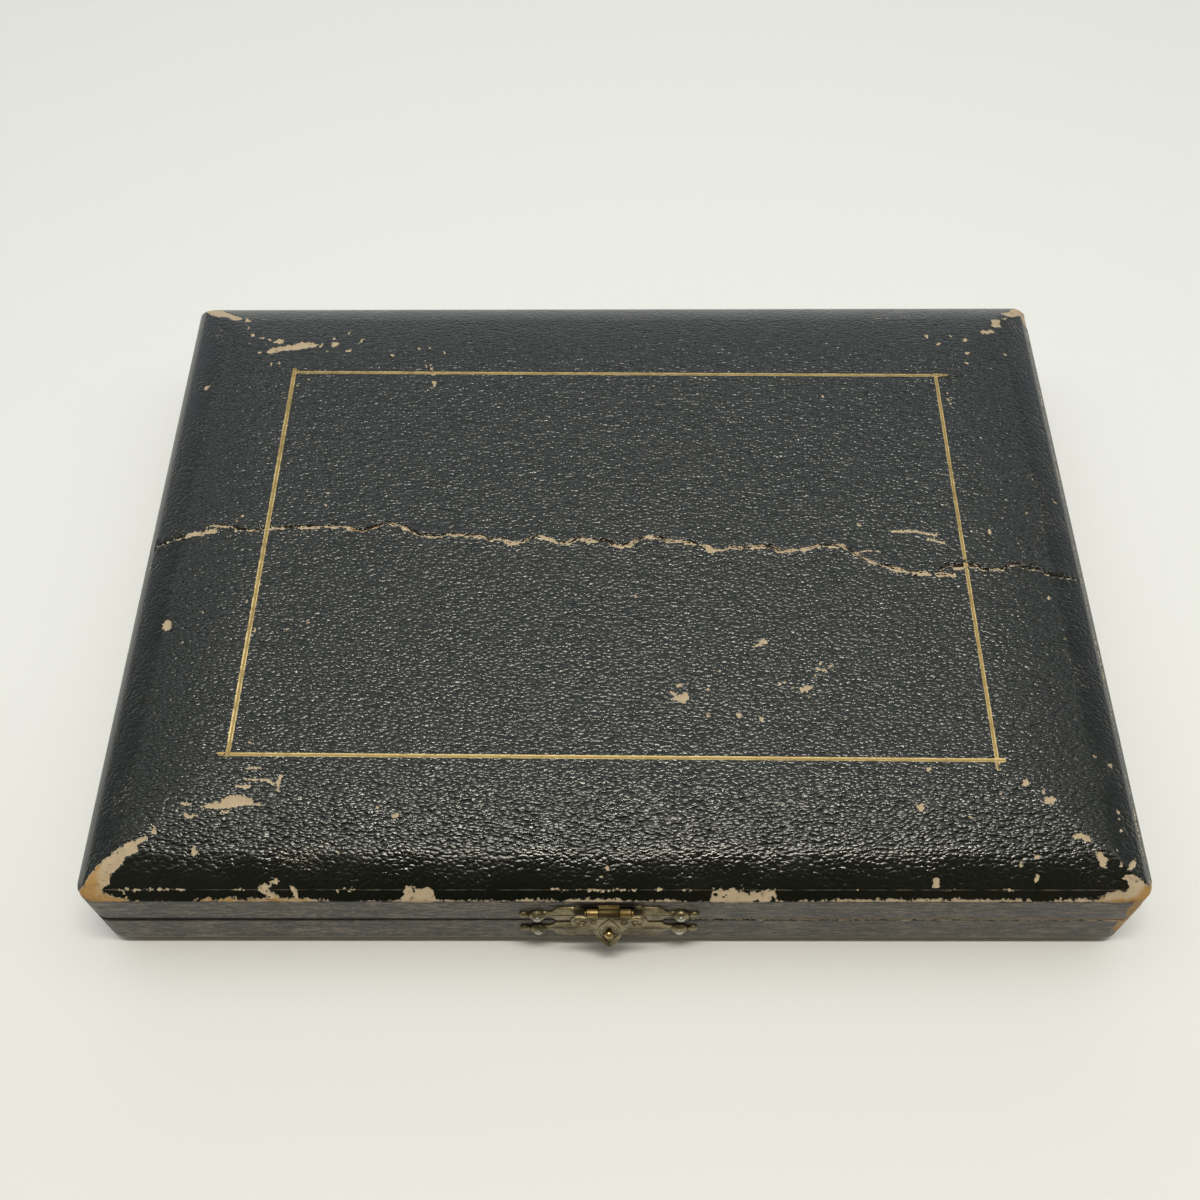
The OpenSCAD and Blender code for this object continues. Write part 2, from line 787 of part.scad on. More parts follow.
module lid_plate() {
    near = seam_gap + plate_margin;
    color(brass) on_front() difference() {
        union() {
            clasp_plate(near, near + lid_plate_h);
            translate([0, hasp_axis_up, hasp_axis_out]) bar_x(lid_knuckle_r, lid_knuckle_l);
            box(
                [-lid_knuckle_l / 2, hasp_axis_up, 0],
                [lid_knuckle_l / 2, hasp_axis_up + lid_knuckle_r, hasp_axis_out]
            );
        }
        translate([0, hasp_axis_up, hasp_axis_out])
            bar_x(hasp_pin_r + press_fit, lid_knuckle_l + past);
    }
}

module lid_plate_nails() { color(brass) on_front() plate_nails(0); }

module hasp_pin() {
    color(brass) on_front() translate([0, hasp_axis_up, hasp_axis_out]) {
        bar_x(hasp_pin_r, 2 * hasp_pin_x);
        hasp_pin_ends(0, 0);
    }
}

// The upset ends of the hasp's pin, grown by fit all round and lengthened by more
module hasp_pin_ends(fit, more) {
    for (sx = [-1, 1])
        translate([sx * (hasp_pin_x + hasp_pin_end_l / 2), 0, 0])
            bar_x(hasp_pin_end_r + fit, hasp_pin_end_l + more);
}

module left_hinge_lid_leaf() {
    color(brass) translate([-hinge_x, hinge_y, hinge_z])
        hinge_leaf(1, middle_knuckle, outer_stretches);
}
module right_hinge_lid_leaf() {
    color(brass) translate([hinge_x, hinge_y, hinge_z])
        hinge_leaf(1, middle_knuckle, outer_stretches);
}

module lid_hinge_screws() { color(brass) at_hinges() leaf_screws(1, 0); }

// ---- Hasp ----

// Outline of the hasp, with y measured down from its pin as negative
module hasp_outline() {
    top_w = lid_knuckle_l / 2 + knuckle_gap + hasp_knuckle_l;
    waist_y = -wing_down - wing_r - waist_drop;
    tip_y = tip_l - hasp_l;
    blunt_y = tip_round - hasp_l;
    wing_x = wing_w - wing_r;
    polygon([
        [-top_w, 0], [top_w, 0], [wing_x, wing_r - wing_down], [wing_x, -wing_down - wing_r],
        [drop_w, waist_y], [drop_w, tip_y], [drop_w / 2, blunt_y], [0, -hasp_l],
        [-drop_w / 2, blunt_y], [-drop_w, tip_y], [-drop_w, waist_y],
        [-wing_x, -wing_down - wing_r], [-wing_x, wing_r - wing_down]
    ]);
    for (sx = [-1, 1])
        translate([sx * wing_x, -wing_down]) circle(wing_r, $fn = small);
}

// Side view of the hasp as (y, z): a flat strip whose end curls away from the case
module hasp_side() {
    back = hasp_knuckle_r - hasp_t;
    tip = [-curl_from - hasp_l * cos(curl_angle), hasp_knuckle_r + hasp_l * sin(curl_angle)];
    polygon([
        [0, back], [0, hasp_knuckle_r], [-curl_from, hasp_knuckle_r], tip,
        tip - hasp_t * [sin(curl_angle), cos(curl_angle)],
        [-curl_from - hasp_t * tan(curl_angle / 2), back]
    ]);
}

module hasp() {
    gap_x = lid_knuckle_l / 2 + knuckle_gap;
    color(brass) on_front() translate([0, hasp_axis_up, hasp_axis_out])
        rotate([-hasp_tilt, 0, 0]) difference() {
            union() {
                intersection() {
                    linear_extrude(2 * hasp_l) hasp_outline();
                    along_x(3 * wing_w) hasp_side();
                }
                for (sx = [-1, 1])
                    translate([sx * (gap_x + hasp_knuckle_l / 2), 0, 0])
                        bar_x(hasp_knuckle_r, hasp_knuckle_l);
            }
            bar_x(lid_knuckle_r + barrel_gap, 2 * gap_x);
            bar_x(hasp_pin_r + running_fit, 3 * wing_w);
            hasp_pin_ends(running_fit, knuckle_gap);
            hasp_slot();
        }
}

// The tall hole in the hasp that the ball stands in
module hasp_slot() {
    linear_extrude(2 * hasp_l) {
        for (y = [slot_top + slot_r, slot_bottom - slot_r])
            translate([0, -y]) circle(slot_r, $fn = small);
        translate([-slot_r, slot_r - slot_bottom])
            square([2 * slot_r, slot_bottom - slot_top - 2 * slot_r]);
    }
}

base_board();
base_front_rail();
base_back_rail();
base_left_rail();
base_right_rail();
base_cover();
base_paper();
tray_floor();
base_front_liner();
base_back_liner();
base_left_liner();
base_right_liner();
handle_rack();
blade_rack();
catch_plate();
catch_stud();
catch_plate_nails();
left_hinge_base_leaf();
right_hinge_base_leaf();
left_hinge_pin();
right_hinge_pin();
base_hinge_screws();
lid_board();
lid_front_rail();
lid_back_rail();
lid_left_rail();
lid_right_rail();
lid_cover();
gilt_line();
lid_front_liner();
lid_back_liner();
lid_left_liner();
lid_right_liner();
lid_pad();
lid_plate();
lid_plate_nails();
hasp_pin();
left_hinge_lid_leaf();
right_hinge_lid_leaf();
lid_hinge_screws();
hasp();
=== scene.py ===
"""Looks of a fitted silverware chest: a shallow leatherette case with a pillow top.

Shapes are worked out in millimetres round the middle of the footprint, with the clasp
towards -Y, and each finished mesh is brought to metres.
"""
import math

import bmesh
import bpy
import numpy as np
from mathutils import Matrix, Vector, noise


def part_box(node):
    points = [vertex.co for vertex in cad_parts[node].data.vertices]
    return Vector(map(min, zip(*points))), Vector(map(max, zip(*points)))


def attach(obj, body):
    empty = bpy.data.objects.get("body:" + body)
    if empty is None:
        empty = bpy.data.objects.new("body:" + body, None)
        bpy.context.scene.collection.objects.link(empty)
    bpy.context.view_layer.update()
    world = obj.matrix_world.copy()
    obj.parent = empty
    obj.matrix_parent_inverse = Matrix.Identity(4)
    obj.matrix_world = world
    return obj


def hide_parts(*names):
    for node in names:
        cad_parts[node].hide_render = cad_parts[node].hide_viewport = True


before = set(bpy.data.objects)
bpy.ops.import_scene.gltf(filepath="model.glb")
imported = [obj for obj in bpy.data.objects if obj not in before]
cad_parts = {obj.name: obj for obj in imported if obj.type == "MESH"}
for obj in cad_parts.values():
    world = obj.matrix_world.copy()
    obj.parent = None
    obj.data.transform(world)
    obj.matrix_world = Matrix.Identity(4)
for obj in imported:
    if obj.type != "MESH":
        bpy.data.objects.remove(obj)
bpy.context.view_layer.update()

MM = 0.001


def box_mm(node):
    """Lowest and highest corner of a CAD node in millimetres."""
    low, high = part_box(node)
    return low / MM, high / MM


# ---- Sizes, as in the part's source, in millimetres ----
LID_LOW, LID_HIGH = box_mm("lid_cover")
BASE_LOW, BASE_HIGH = box_mm("base_cover")
HALF_W = LID_HIGH.x
HALF_D = -LID_LOW.y
LID_RIM = LID_LOW.z
ARRIS = 32.5
TOP = LID_HIGH.z
BASE_RIM = BASE_HIGH.z
BASE_FOOT = BASE_LOW.z
FRONT_CORNER_R = 5.5
BACK_CORNER_R = 3.4
SKIN = 0.8
INNER = SKIN - 0.03
CHAMFER = 2.4
SHOULDER_W = 12.0
SHOULDER_H = 4.6
PILLOW_W = 36.0
PILLOW_H = 3.0
SHOULDER_SLOPE = math.radians(32.5)
PILLOW_SLOPE = 2 * math.atan(PILLOW_H / (PILLOW_W - SHOULDER_W))
MITRE_EASE = 5.0
BASE_BEVEL_W = 3.0
BASE_BEVEL_H = 3.3
BASE_KNEE = BASE_FOOT + BASE_BEVEL_H
TURN_IN = 18.0
HINGE_Y = 107.8
HINGE_Z = 18.65
BACK_BEVEL = 50.75

GILT_X = 106.4
GILT_Y = 70.4
GILT_W = 1.1
GILT_TURN = math.radians(-0.5)
GILT_SHIFT = -0.7
GROOVE = 0.25
GILT_T = 0.12

CLASP_X = -1.3
ARM_UP = 5.2
NAIL_X = 19.6
PLATE_T = 0.5
PIN_UP = 10.2
PIN_OUT = 1.8
HASP_TILT = math.radians(4)
BALL_DOWN = 2.1
BALL_OUT = 3.4
BALL_R = 1.35
NAIL_R = 1.15
KNUCKLE_W = 5.6
HASP_BACK = 0.3
HASP_FRONT = 1.0
SLOT_R = 1.7
TIP_Y = -13.9
TIP_CURL = math.radians(21)

# ---- Wear, as places on the lid seen from above, in millimetres ----
BARE_PATCHES = [
    [(-143.7, -108.2), (-144.9, -106.5), (-142.2, -104.9), (-141.0, -103.1), (-139.2, -100.9),
     (-136.8, -99.2), (-134.4, -97.7), (-134.0, -96.9), (-132.0, -96.3), (-131.3, -95.2),
     (-128.9, -94.6), (-126.2, -93.3), (-125.5, -94.1), (-128.4, -95.9), (-127.6, -97.4),
     (-128.9, -98.3), (-131.1, -99.0), (-132.0, -100.6), (-133.9, -102.4), (-135.1, -103.6),
     (-135.4, -105.6), (-136.9, -106.2), (-137.5, -107.7), (-135.0, -108.3), (-132.7, -108.3),
     (-131.3, -109.1), (-132.0, -109.9), (-138.2, -109.9), (-143.3, -109.9), (-146, -107)],
    [(-125.1, -91.6), (-124.1, -91.0), (-123.5, -91.8), (-123.5, -93.1), (-124.6, -93.1)],
    [(-95.3, -106.2), (-94.1, -105.3), (-91.6, -105.3), (-91.4, -105.9), (-92.9, -106.2),
     (-93.2, -107.8), (-94.6, -107.2)],
    [(-92.0, -104.6), (-90.4, -104.0), (-89.7, -104.6), (-90.0, -105.5), (-91.0, -105.3)],
    [(-92.9, -106.5), (-90.9, -107.2), (-89.7, -108.0), (-89.4, -109.1), (-91.0, -108.7),
     (-93.0, -108.1)],
    [(-86.7, -105.7), (-85.5, -105.6), (-84.9, -106.6), (-84.4, -107.5), (-84.6, -108.5),
     (-85.6, -107.8)],
    [(-112.8, -85.8), (-110.7, -84.8), (-107.0, -84.1), (-106.3, -83.1), (-103.9, -82.4),
     (-100.5, -82.3), (-99.6, -83.4), (-97.9, -83.7), (-97.9, -85.2), (-101.4, -85.3),
     (-103.9, -85.7), (-106.3, -86.3), (-109.7, -86.1)],
    [(-116.8, -87.3), (-115.3, -87.8), (-112.6, -87.7), (-112.3, -88.4), (-116.0, -88.7)],
    [(-106.7, -86.7), (-104.2, -86.6), (-103.9, -87.4), (-106.6, -87.4)],
    [(-118.0, -84.3), (-116.6, -84.3), (-114.8, -85.0), (-115.6, -85.3), (-117.5, -85.1)],
    [(-97.6, -84.5), (-95.7, -84.8), (-96.0, -85.3), (-97.5, -85.1)],
    [(-113.1, -96.8), (-112.7, -96.0), (-112.3, -97.2), (-111.9, -97.8), (-112.5, -99.0),
     (-113.2, -98.4)],
    [(-144.7, 107.7), (-142.9, 109.9), (-138.9, 107.9), (-133.7, 102.9), (-130.8, 100.8),
     (-127.8, 98.8), (-128.6, 97.1), (-131.0, 97.4), (-133.6, 100.0), (-136.9, 100.4),
     (-140.0, 102.7)],
    [(-126.7, 97.8), (-124.6, 98.1), (-124.8, 96.2), (-126.3, 96.4)],
    [(-116.9, 80.1), (-115.2, 81.5), (-112.3, 82.7), (-107.4, 83.6), (-105.3, 84.9),
     (-101.7, 84.6), (-99.6, 83.6), (-99.9, 82.4), (-102.5, 82.1), (-105.5, 81.2),
     (-110.8, 80.4), (-115.3, 79.2)],
    [(-114.6, 84.7), (-113.3, 86.5), (-111.7, 86.2), (-111.3, 84.7), (-112.1, 84.0)],
    [(-95.1, 84.8), (-92.7, 84.5), (-92.8, 83.3), (-94.4, 82.0)],
    [(-99.1, 82.7), (-98.0, 84.2), (-97.6, 83.3), (-98.7, 82.1)],
    [(135.1, 101.4), (138.0, 103.2), (142.8, 109.9), (146, 107.8), (142, 102.8), (138.6, 100.3),
     (135.9, 100.0)],
    [(142.5, 104.8), (146, 105.9), (146, 102.2), (145.5, 99), (143.6, 100.1)],
    [(134.8, 98.4), (136.5, 98.9), (135.7, 97.8), (134.7, 97.9)],
    [(130.3, 96.7), (133.5, 97.0), (132.9, 94.5), (133.6, 93.7), (130.9, 92.7), (129.7, 93.3),
     (130.5, 94.5)],
    [(124.9, 90.2), (126.5, 90.8), (130.1, 91.6), (130.0, 90.1), (126.2, 88.9)],
    [(135.7, -104.0), (137.6, -102.9), (139.5, -103.5), (142.1, -104.6), (143.9, -105.4),
     (146.0, -106.9), (145.6, -109.9), (142.4, -109.9), (132.7, -109.9), (132.4, -108.3),
     (133.4, -107.9), (133.7, -106.8), (135.1, -106.5), (136.1, -107.2), (137.4, -106.1),
     (137.1, -104.7)],
    [(123.1, -93.4), (124.9, -92.6), (127.7, -93.5), (128.1, -95.1), (127.0, -94.9),
     (125.2, -94.2), (123.8, -94.0)],
    [(128.6, -97.4), (130.5, -97.6), (132.1, -99.6), (131.1, -101.0), (131.8, -101.6),
     (130.1, -101.2), (129.4, -99.4)],
    [(138.6, -99.2), (140.8, -98.4), (140.0, -100.4), (138.1, -102.0), (137.2, -102.0)],
    [(135.2, -100.1), (135.9, -100.3), (135.6, -101.2), (135.0, -101.1)],
    [(85.3, -104.4), (86.0, -103.9), (86.8, -104.0), (86.9, -106.1), (85.6, -106.2),
     (85.0, -105.6)],
    [(81.9, -85.7), (83.0, -84.7), (84.0, -84.5), (83.9, -86.4), (82.8, -86.7)],
    [(15.7, -50.3), (17.3, -50.7), (18.0, -51.6), (18.9, -51.7), (19.9, -50.9), (20.9, -50.5),
     (21.8, -52.2), (21.0, -53.3), (20.0, -54.4), (18.5, -53.5), (16.4, -52.9), (17.2, -52.2)],
    [(17.9, -48.3), (18.7, -47.6), (20.0, -48.3), (19.0, -49.0), (18.2, -49.0)],
    [(41.8, -33.4), (43.0, -33.2), (43.8, -32.7), (44.5, -33.4), (44.8, -34.5), (43.2, -35.0),
     (41.9, -35.4), (39.9, -36.0), (40.7, -35.4), (42.1, -34.6), (42.9, -34.1)],
    [(53.0, -49.6), (54.3, -49.2), (55.3, -48.5), (57.2, -48.5), (56.6, -49.8), (55.0, -50.1),
     (53.6, -50.9)],
    [(-133.7, -26.2), (-133.1, -25.0), (-132.5, -24.6), (-130.9, -25.3), (-130.5, -27.2),
     (-131.2, -28.3), (-132.4, -28.3), (-133.6, -27.4)],
    [(111.4, -79.0), (112.0, -78.4), (113.0, -77.9), (113.3, -78.7), (112.7, -79.6),
     (111.8, -79.7)],
    [(116.3, -84.2), (117.0, -83.2), (117.9, -82.7), (119.1, -82.5), (120.1, -83.2),
     (120.0, -84.2), (119.3, -84.8), (118.3, -85.0), (118.8, -84.3), (118.1, -83.8),
     (117.1, -84.3)],
    [(-60.1, 70.6), (-59.1, 70.6), (-58.8, 69.1), (-60.0, 69.1)],
    [(-59.8, 66.4), (-58.3, 66.4), (-58.7, 64.5), (-58.8, 63.3), (-59.4, 65.6)],
]
# Where the front arris is rubbed through: place along the front, height of the bare band
ARRIS_RUB = [
    (-145, 2.0), (-136, 2.0), (-131, 0.9), (-130, 0.0), (-114, 0.0), (-113, 0.5), (-108, 0.8),
    (-103, 1.2), (-98, 1.0), (-94, 1.1), (-86, 0.9), (-85, 1.3), (-78, 0.9), (-76, 0.3),
    (-75, 0.0), (-69, 0.0), (-67, 0.35), (-64, 0.3), (-62, 0.4), (-57, 0.5), (-56, 2.9),
    (-48.5, 2.9), (-47.5, 0.5), (-40, 0.6), (-30, 0.5), (-28, 0.15), (-25, 0.8), (-17, 0.7),
    (-14, 0.25), (-12, 0.9), (-4, 1.0), (2, 1.1), (5, 0.3), (9, 0.2), (10, 0.8), (17, 0.7),
    (18, 0.1), (25.5, 0.1), (26.5, 2.6), (33, 2.8), (43, 2.3), (44, 0.3), (49, 0.2), (50, 0.6),
    (59, 0.5), (61, 0.8), (76, 0.8), (88, 0.9), (98, 0.9), (111, 0.8), (112, 0.2), (117, 0.2),
    (118, 0.9), (128, 0.9), (131, 1.8), (145, 2.2),
]
# Where the crease above the chamfer is cracked pale: from, to, half its width
CREASE_RUB = [
    (-132.5, -128.0, 0.26), (-127.5, -115.0, 0.18), (-102.0, -99.0, 0.14), (-74.1, -69.3, 0.28),
    (-55.0, -52.0, 0.12), (-16.8, -9.0, 0.16), (-7.0, 1.0, 0.26), (2.0, 6.0, 0.2),
    (10.8, 12.7, 0.36), (18.3, 20.7, 0.14), (64.0, 66.0, 0.12), (88.0, 91.0, 0.16),
    (104.0, 106.5, 0.2),
]
# Rows of points along the split across the lid, and along thin scratches
SPLITS = [
    [(-141.9, 3.9), (-141.9, 5.0), (-137.1, 5.0), (-134.4, 5.3), (-131.6, 5.6)],
    [(-125.5, 8.2), (-122.8, 8.5), (-119.9, 7.8), (-116.9, 7.6), (-115.5, 6.4), (-112.5, 6.1),
     (-108.9, 6.2), (-104.9, 6.8), (-100.8, 7.0), (-95.5, 7.1), (-90.8, 7.2), (-87.3, 7.5),
     (-83.1, 7.5), (-80.4, 6.4), (-77.7, 5.7), (-74.8, 6.6), (-72.5, 7.5), (-69.7, 8.7),
     (-66.7, 8.0), (-63.6, 6.8), (-61.1, 5.2), (-58.1, 4.1), (-53.4, 3.4), (-50.1, 4.4),
     (-46.5, 3.9), (-42.4, 3.9), (-38.2, 2.4), (-34.1, 2.6), (-31.2, 1.0), (-27.1, 1.6),
     (-24.8, 3.0), (-22.5, 3.8), (-19.5, 2.3), (-16.6, 1.0), (-13.1, 1.1), (-10.7, 2.9),
     (-7.2, 2.0), (-3.1, 2.0), (-0.8, 1.0), (1.5, 0.0), (5.6, 0.2), (7.4, 2.5), (10.3, 3.1),
     (13.8, 3.2), (16.7, 1.6), (20.2, 1.8), (24.9, 0.8), (27.7, 0.2), (30.0, -1.4),
     (33.5, -1.6), (36.4, -0.5), (38.6, -0.9), (42.8, -0.5), (48.4, -0.3), (50.4, -1.8),
     (54.6, -1.8), (59.5, -1.1), (63.1, 0.1), (70.1, -0.2), (72.0, -2.1), (74.0, -3.3),
     (77.9, -6.0), (81.2, -7.1), (85.2, -8.6), (89.2, -9.5), (93.3, -9.8), (98.0, -10.6),
     (102.1, -10.6)],
    [(98.2, -8.8), (100.9, -7.3), (103.2, -7.9), (106.7, -7.3), (108.8, -7.2), (110.7, -8.7),
     (114.1, -8.9), (117.7, -8.5), (120.1, -6.5), (123.0, -6.2)],
    [(123.6, -7.4), (128.6, -7.7), (132.1, -8.8), (135.8, -9.0), (141.2, -8.0)],
]
# Half widths of the bare lips at each split's start, middle and end
SPLIT_WIDTHS = [(0.2, 0.4, 0.6), (0.5, 0.75, 0.75), (0.5, 0.8, 0.4), (0.45, 0.55, 0.15)]
SCRATCHES = [
    ([(-131.6, 5.4), (-129.2, 6.3), (-127.0, 5.9), (-125.2, 6.4), (-122.4, 6.5)], 0.75),
    ([(73.3, -3.1), (76.2, -1.9), (79.7, -1.7), (81.1, -2.4)], 0.16),
    ([(85.2, 5.4), (92.4, 5.4), (98.9, 4.0)], 0.42),
    ([(96.2, 2.4), (100.9, 1.0)], 0.4),
    ([(-101.0, -77.8), (-96.9, -77.8), (-94.2, -78.3), (-93.1, -79.1)], 0.3),
    ([(-91.5, -76.5), (-91.8, -80.8)], 0.38),
    ([(-103.1, -79.6), (-100.0, -79.8)], 0.45),
    ([(-101.2, -74.5), (-97.4, -74.3)], 0.22),
    ([(58.3, -42.8), (60.9, -43.7)], 0.3),
    ([(-130.6, -106.4), (-131.3, -107.0), (-130.9, -108.0), (-130.3, -108.9)], 0.26),
    ([(-86.0, 83.9), (-84.6, 86.2)], 0.25),
]
# Small knocks down to the backing: place and radius
FLECKS = [
    (-132.2, -26.4, 0.45), (-143.1, -2.4, 0.45), (18.3, -52.3, 0.55), (55.4, -50.1, 0.55),
    (41.2, -35.1, 0.4), (83.0, -85.7, 0.7), (117.9, -83.9, 0.85), (85.6, -105.0, 0.7),
    (-1.6, -101.5, 0.61), (-3.5, -103.4, 0.42), (-4.3, -104.3, 0.34), (-2.5, -105.0, 0.30),
    (69.0, 59.8, 0.5), (139.6, 21.2, 0.76), (-125.9, 98.1, 0.6), (-124.8, 92.6, 0.7),
    (-122.4, 88.6, 0.8), (-119.1, 87.0, 0.65), (-116.2, 86.0, 0.61), (-114.1, 74.4, 0.8),
    (-111.5, 74.7, 0.5), (-118.7, 80.1, 0.6), (-89.0, 80.4, 0.61), (-96.1, 80.4, 0.48),
    (119.3, 85.3, 0.67), (119.0, 79.1, 0.7), (132.6, 80.8, 0.65), (114.9, 87.5, 0.6),
    (106.7, 87.0, 0.73), (109.9, 83.3, 0.61), (118.4, 74.5, 0.67), (110.1, 61.0, 0.55),
    (110.1, 58.4, 0.5), (110.2, 56.6, 0.45), (-114.5, 11.6, 0.65), (-116.2, 9.8, 0.45),
    (-89.2, 15.7, 0.4), (-89.1, 20.4, 0.5), (-101.3, -66.6, 0.6), (-74.0, -97.7, 0.45),
    (-64.0, -85.8, 0.42), (-59.2, -88.1, 0.7), (86.7, -74.6, 0.8), (96.5, -88.2, 0.55),
    (112.6, -78.7, 0.85), (117.3, -84.1, 0.67), (113.4, -98.7, 0.6), (105.1, -81.9, 0.4),
    (108.9, -100.5, 0.45), (115.5, 5.3, 0.79), (128.4, 13.7, 0.45), (103.1, 15.4, 0.4),
    (75.7, 7.8, 0.55), (130.2, -17.4, 0.45), (-135.7, -82.4, 0.36), (137.8, -87.3, 0.45),
    (137.6, -90.9, 0.36), (135.1, -97.0, 0.39), (59.7, -41.4, 0.6), (62.5, -42.1, 0.6),
    (58.0, -45.5, 0.45), (48.8, -47.4, 0.45), (50.1, -45.0, 0.4), (51.1, -49.2, 0.55),
    (26.8, -49.6, 0.4), (28.6, -50.6, 0.4), (30.3, -43.9, 0.5), (21.1, -47.9, 0.4),
    (26.8, -58.0, 0.7), (35.4, -58.0, 0.75), (41.6, -59.3, 0.7), (55.4, -52.4, 0.45),
    (47.4, -48.1, 0.4), (-121.5, -23.1, 0.4), (-105.0, -29.8, 0.5), (-95.6, -29.5, 0.55),
    (-89.7, -27.3, 0.4), (6.8, -18.3, 0.55), (-31.2, -17.1, 0.35), (-108.9, -19.6, 0.4),
    (138.8, -71.0, 0.6), (134.1, -69.3, 0.45), (138.0, -85.2, 0.55), (112.9, -104.0, 0.8),
    (116.9, -81.3, 0.55), (-74.0, 78.1, 0.6), (-56.3, 79.3, 0.55), (-62.0, 73.1, 0.65),
    (-60.3, 74.0, 0.45), (-61.5, 81.8, 0.45), (-64.9, 81.3, 0.55), (-88.2, 80.5, 0.65),
    (-89.7, 89.5, 0.45), (-94.3, 86.8, 0.5), (-95.8, 80.5, 0.55), (-60.0, 72.0, 0.6),
    (-135.5, 67.3, 0.8), (-104.0, 64.8, 0.4), (-100.4, 67.5, 0.45),
]
# Rubbed upright corners: side in X and in Y, how far the bare place reaches, height of its foot
CORNER_RUB = ((1, -1, 5.0, 14.0), (-1, -1, 3.2, 30.0), (-1, 1, 0.8, 29.0))
# Width of the dark seam between lid and base at four places along X: painted shade and dirt
SEAM_X = (-145, -85, -60, 145)
LID_SEAM = (1.7, 1.3, 0.8, 0.6)
BASE_SEAM = (1.3, 1.1, 0.8, 0.6)
# How deep the bare places and the split's gap lie
BARE_SINK = 0.22
SPLIT_SINK = 0.55
# The mark of a point far from any wear, and a distance beyond every other
UNMARKED = -4.0
FAR = 1e9


# ---- Finished pieces ----
def in_scene(name, data):
    """Puts a mesh, a lamp or the camera in the scene."""
    thing = bpy.data.objects.new(name, data)
    bpy.context.scene.collection.objects.link(thing)
    return thing


def take_in(bm, other):
    """Adds another shape to this one and lets go of it."""
    mesh = bpy.data.meshes.new("shape")
    other.to_mesh(mesh)
    other.free()
    bm.from_mesh(mesh)
    bpy.data.meshes.remove(mesh)


def finished(name, bm, body, finishes, stands_for, sharp_over=32.0):
    """Turns a shape in millimetres into a piece that rides on a CAD body."""
    bmesh.ops.scale(bm, vec=(MM, MM, MM), verts=bm.verts)
    for face in bm.faces:
        face.smooth = True
    limit = math.radians(sharp_over)
    for edge in bm.edges:
        edge.smooth = edge.calc_face_angle(0.0) < limit
    mesh = bpy.data.meshes.new(name)
    bm.to_mesh(mesh)
    bm.free()
    piece = in_scene(name, mesh)
    for finish in finishes:
        mesh.materials.append(finish)
    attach(piece, body)
    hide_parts(*stands_for)
    return piece


def outward(bm):
    """Closes doubles and turns every face outwards."""
    bmesh.ops.remove_doubles(bm, verts=bm.verts, dist=1e-4)
    bmesh.ops.recalc_face_normals(bm, faces=bm.faces)


def bevelled(bm, edges, width, segments=2):
    """Rounds edges over by width."""
    return bmesh.ops.bevel(
        bm, geom=list(edges), offset=width, offset_type="OFFSET", affect="EDGES",
        segments=segments, profile=0.5, clamp_overlap=True, material=-1,
    )


def softened(node, name, finish, body, width=0.15, segments=2, sharp=30.0):
    """A copy of a CAD node with its hard edges rounded over, which stands for it."""
    bm = bmesh.new()
    bm.from_mesh(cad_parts[node].data)
    bmesh.ops.scale(bm, vec=(1 / MM, 1 / MM, 1 / MM), verts=bm.verts)
    bmesh.ops.remove_doubles(bm, verts=bm.verts, dist=0.002)
    bmesh.ops.dissolve_limit(
        bm, angle_limit=math.radians(0.6), verts=bm.verts, edges=bm.edges
    )
    hard = [e for e in bm.edges if e.calc_face_angle(0.0) > math.radians(sharp)]
    bevelled(bm, hard, width, segments)
    return finished(name, bm, body, [finish], [node])


# ---- Finishes ----
class Nodes:
    """The nodes of a material or the world, added one after another."""

    def __init__(self, owner):
        owner.use_nodes = True
        self.tree = owner.node_tree
        self.tree.nodes.clear()

    def put(self, socket, value):
        if isinstance(value, bpy.types.NodeSocket):
            self.tree.links.new(value, socket)
        else:
            if socket.type == "RGBA" and len(value) == 3:
                value = (*value, 1.0)
            socket.default_value = value

    def add(self, kind, inputs, output=0, **settings):
        node = self.tree.nodes.new(kind)
        for key, value in settings.items():
            setattr(node, key, value)
        for key, value in inputs.items():
            self.put(node.inputs[key], value)
        return node.outputs[output]

    def sum(self, operation, *values, clamp=False):
        return self.add(
            "ShaderNodeMath", dict(enumerate(values)), operation=operation, use_clamp=clamp
        )

    def times(self, a, b, clamp=False):
        return self.sum("MULTIPLY", a, b, clamp=clamp)

    def plus(self, a, b):
        return self.sum("ADD", a, b)

    def scaled(self, value, scale, offset, clamp=False):
        return self.sum("MULTIPLY_ADD", value, scale, offset, clamp=clamp)

    def vector(self, operation, inputs, output=0):
        return self.add("ShaderNodeVectorMath", inputs, output, operation=operation)

    def blend(self, share, a, b):
        return self.add("ShaderNodeMix", {0: share, 6: a, 7: b}, output=2, data_type="RGBA")

    def apart(self, vector):
        """The three numbers of a vector."""
        return self.add("ShaderNodeSeparateXYZ", {0: vector}).node.outputs


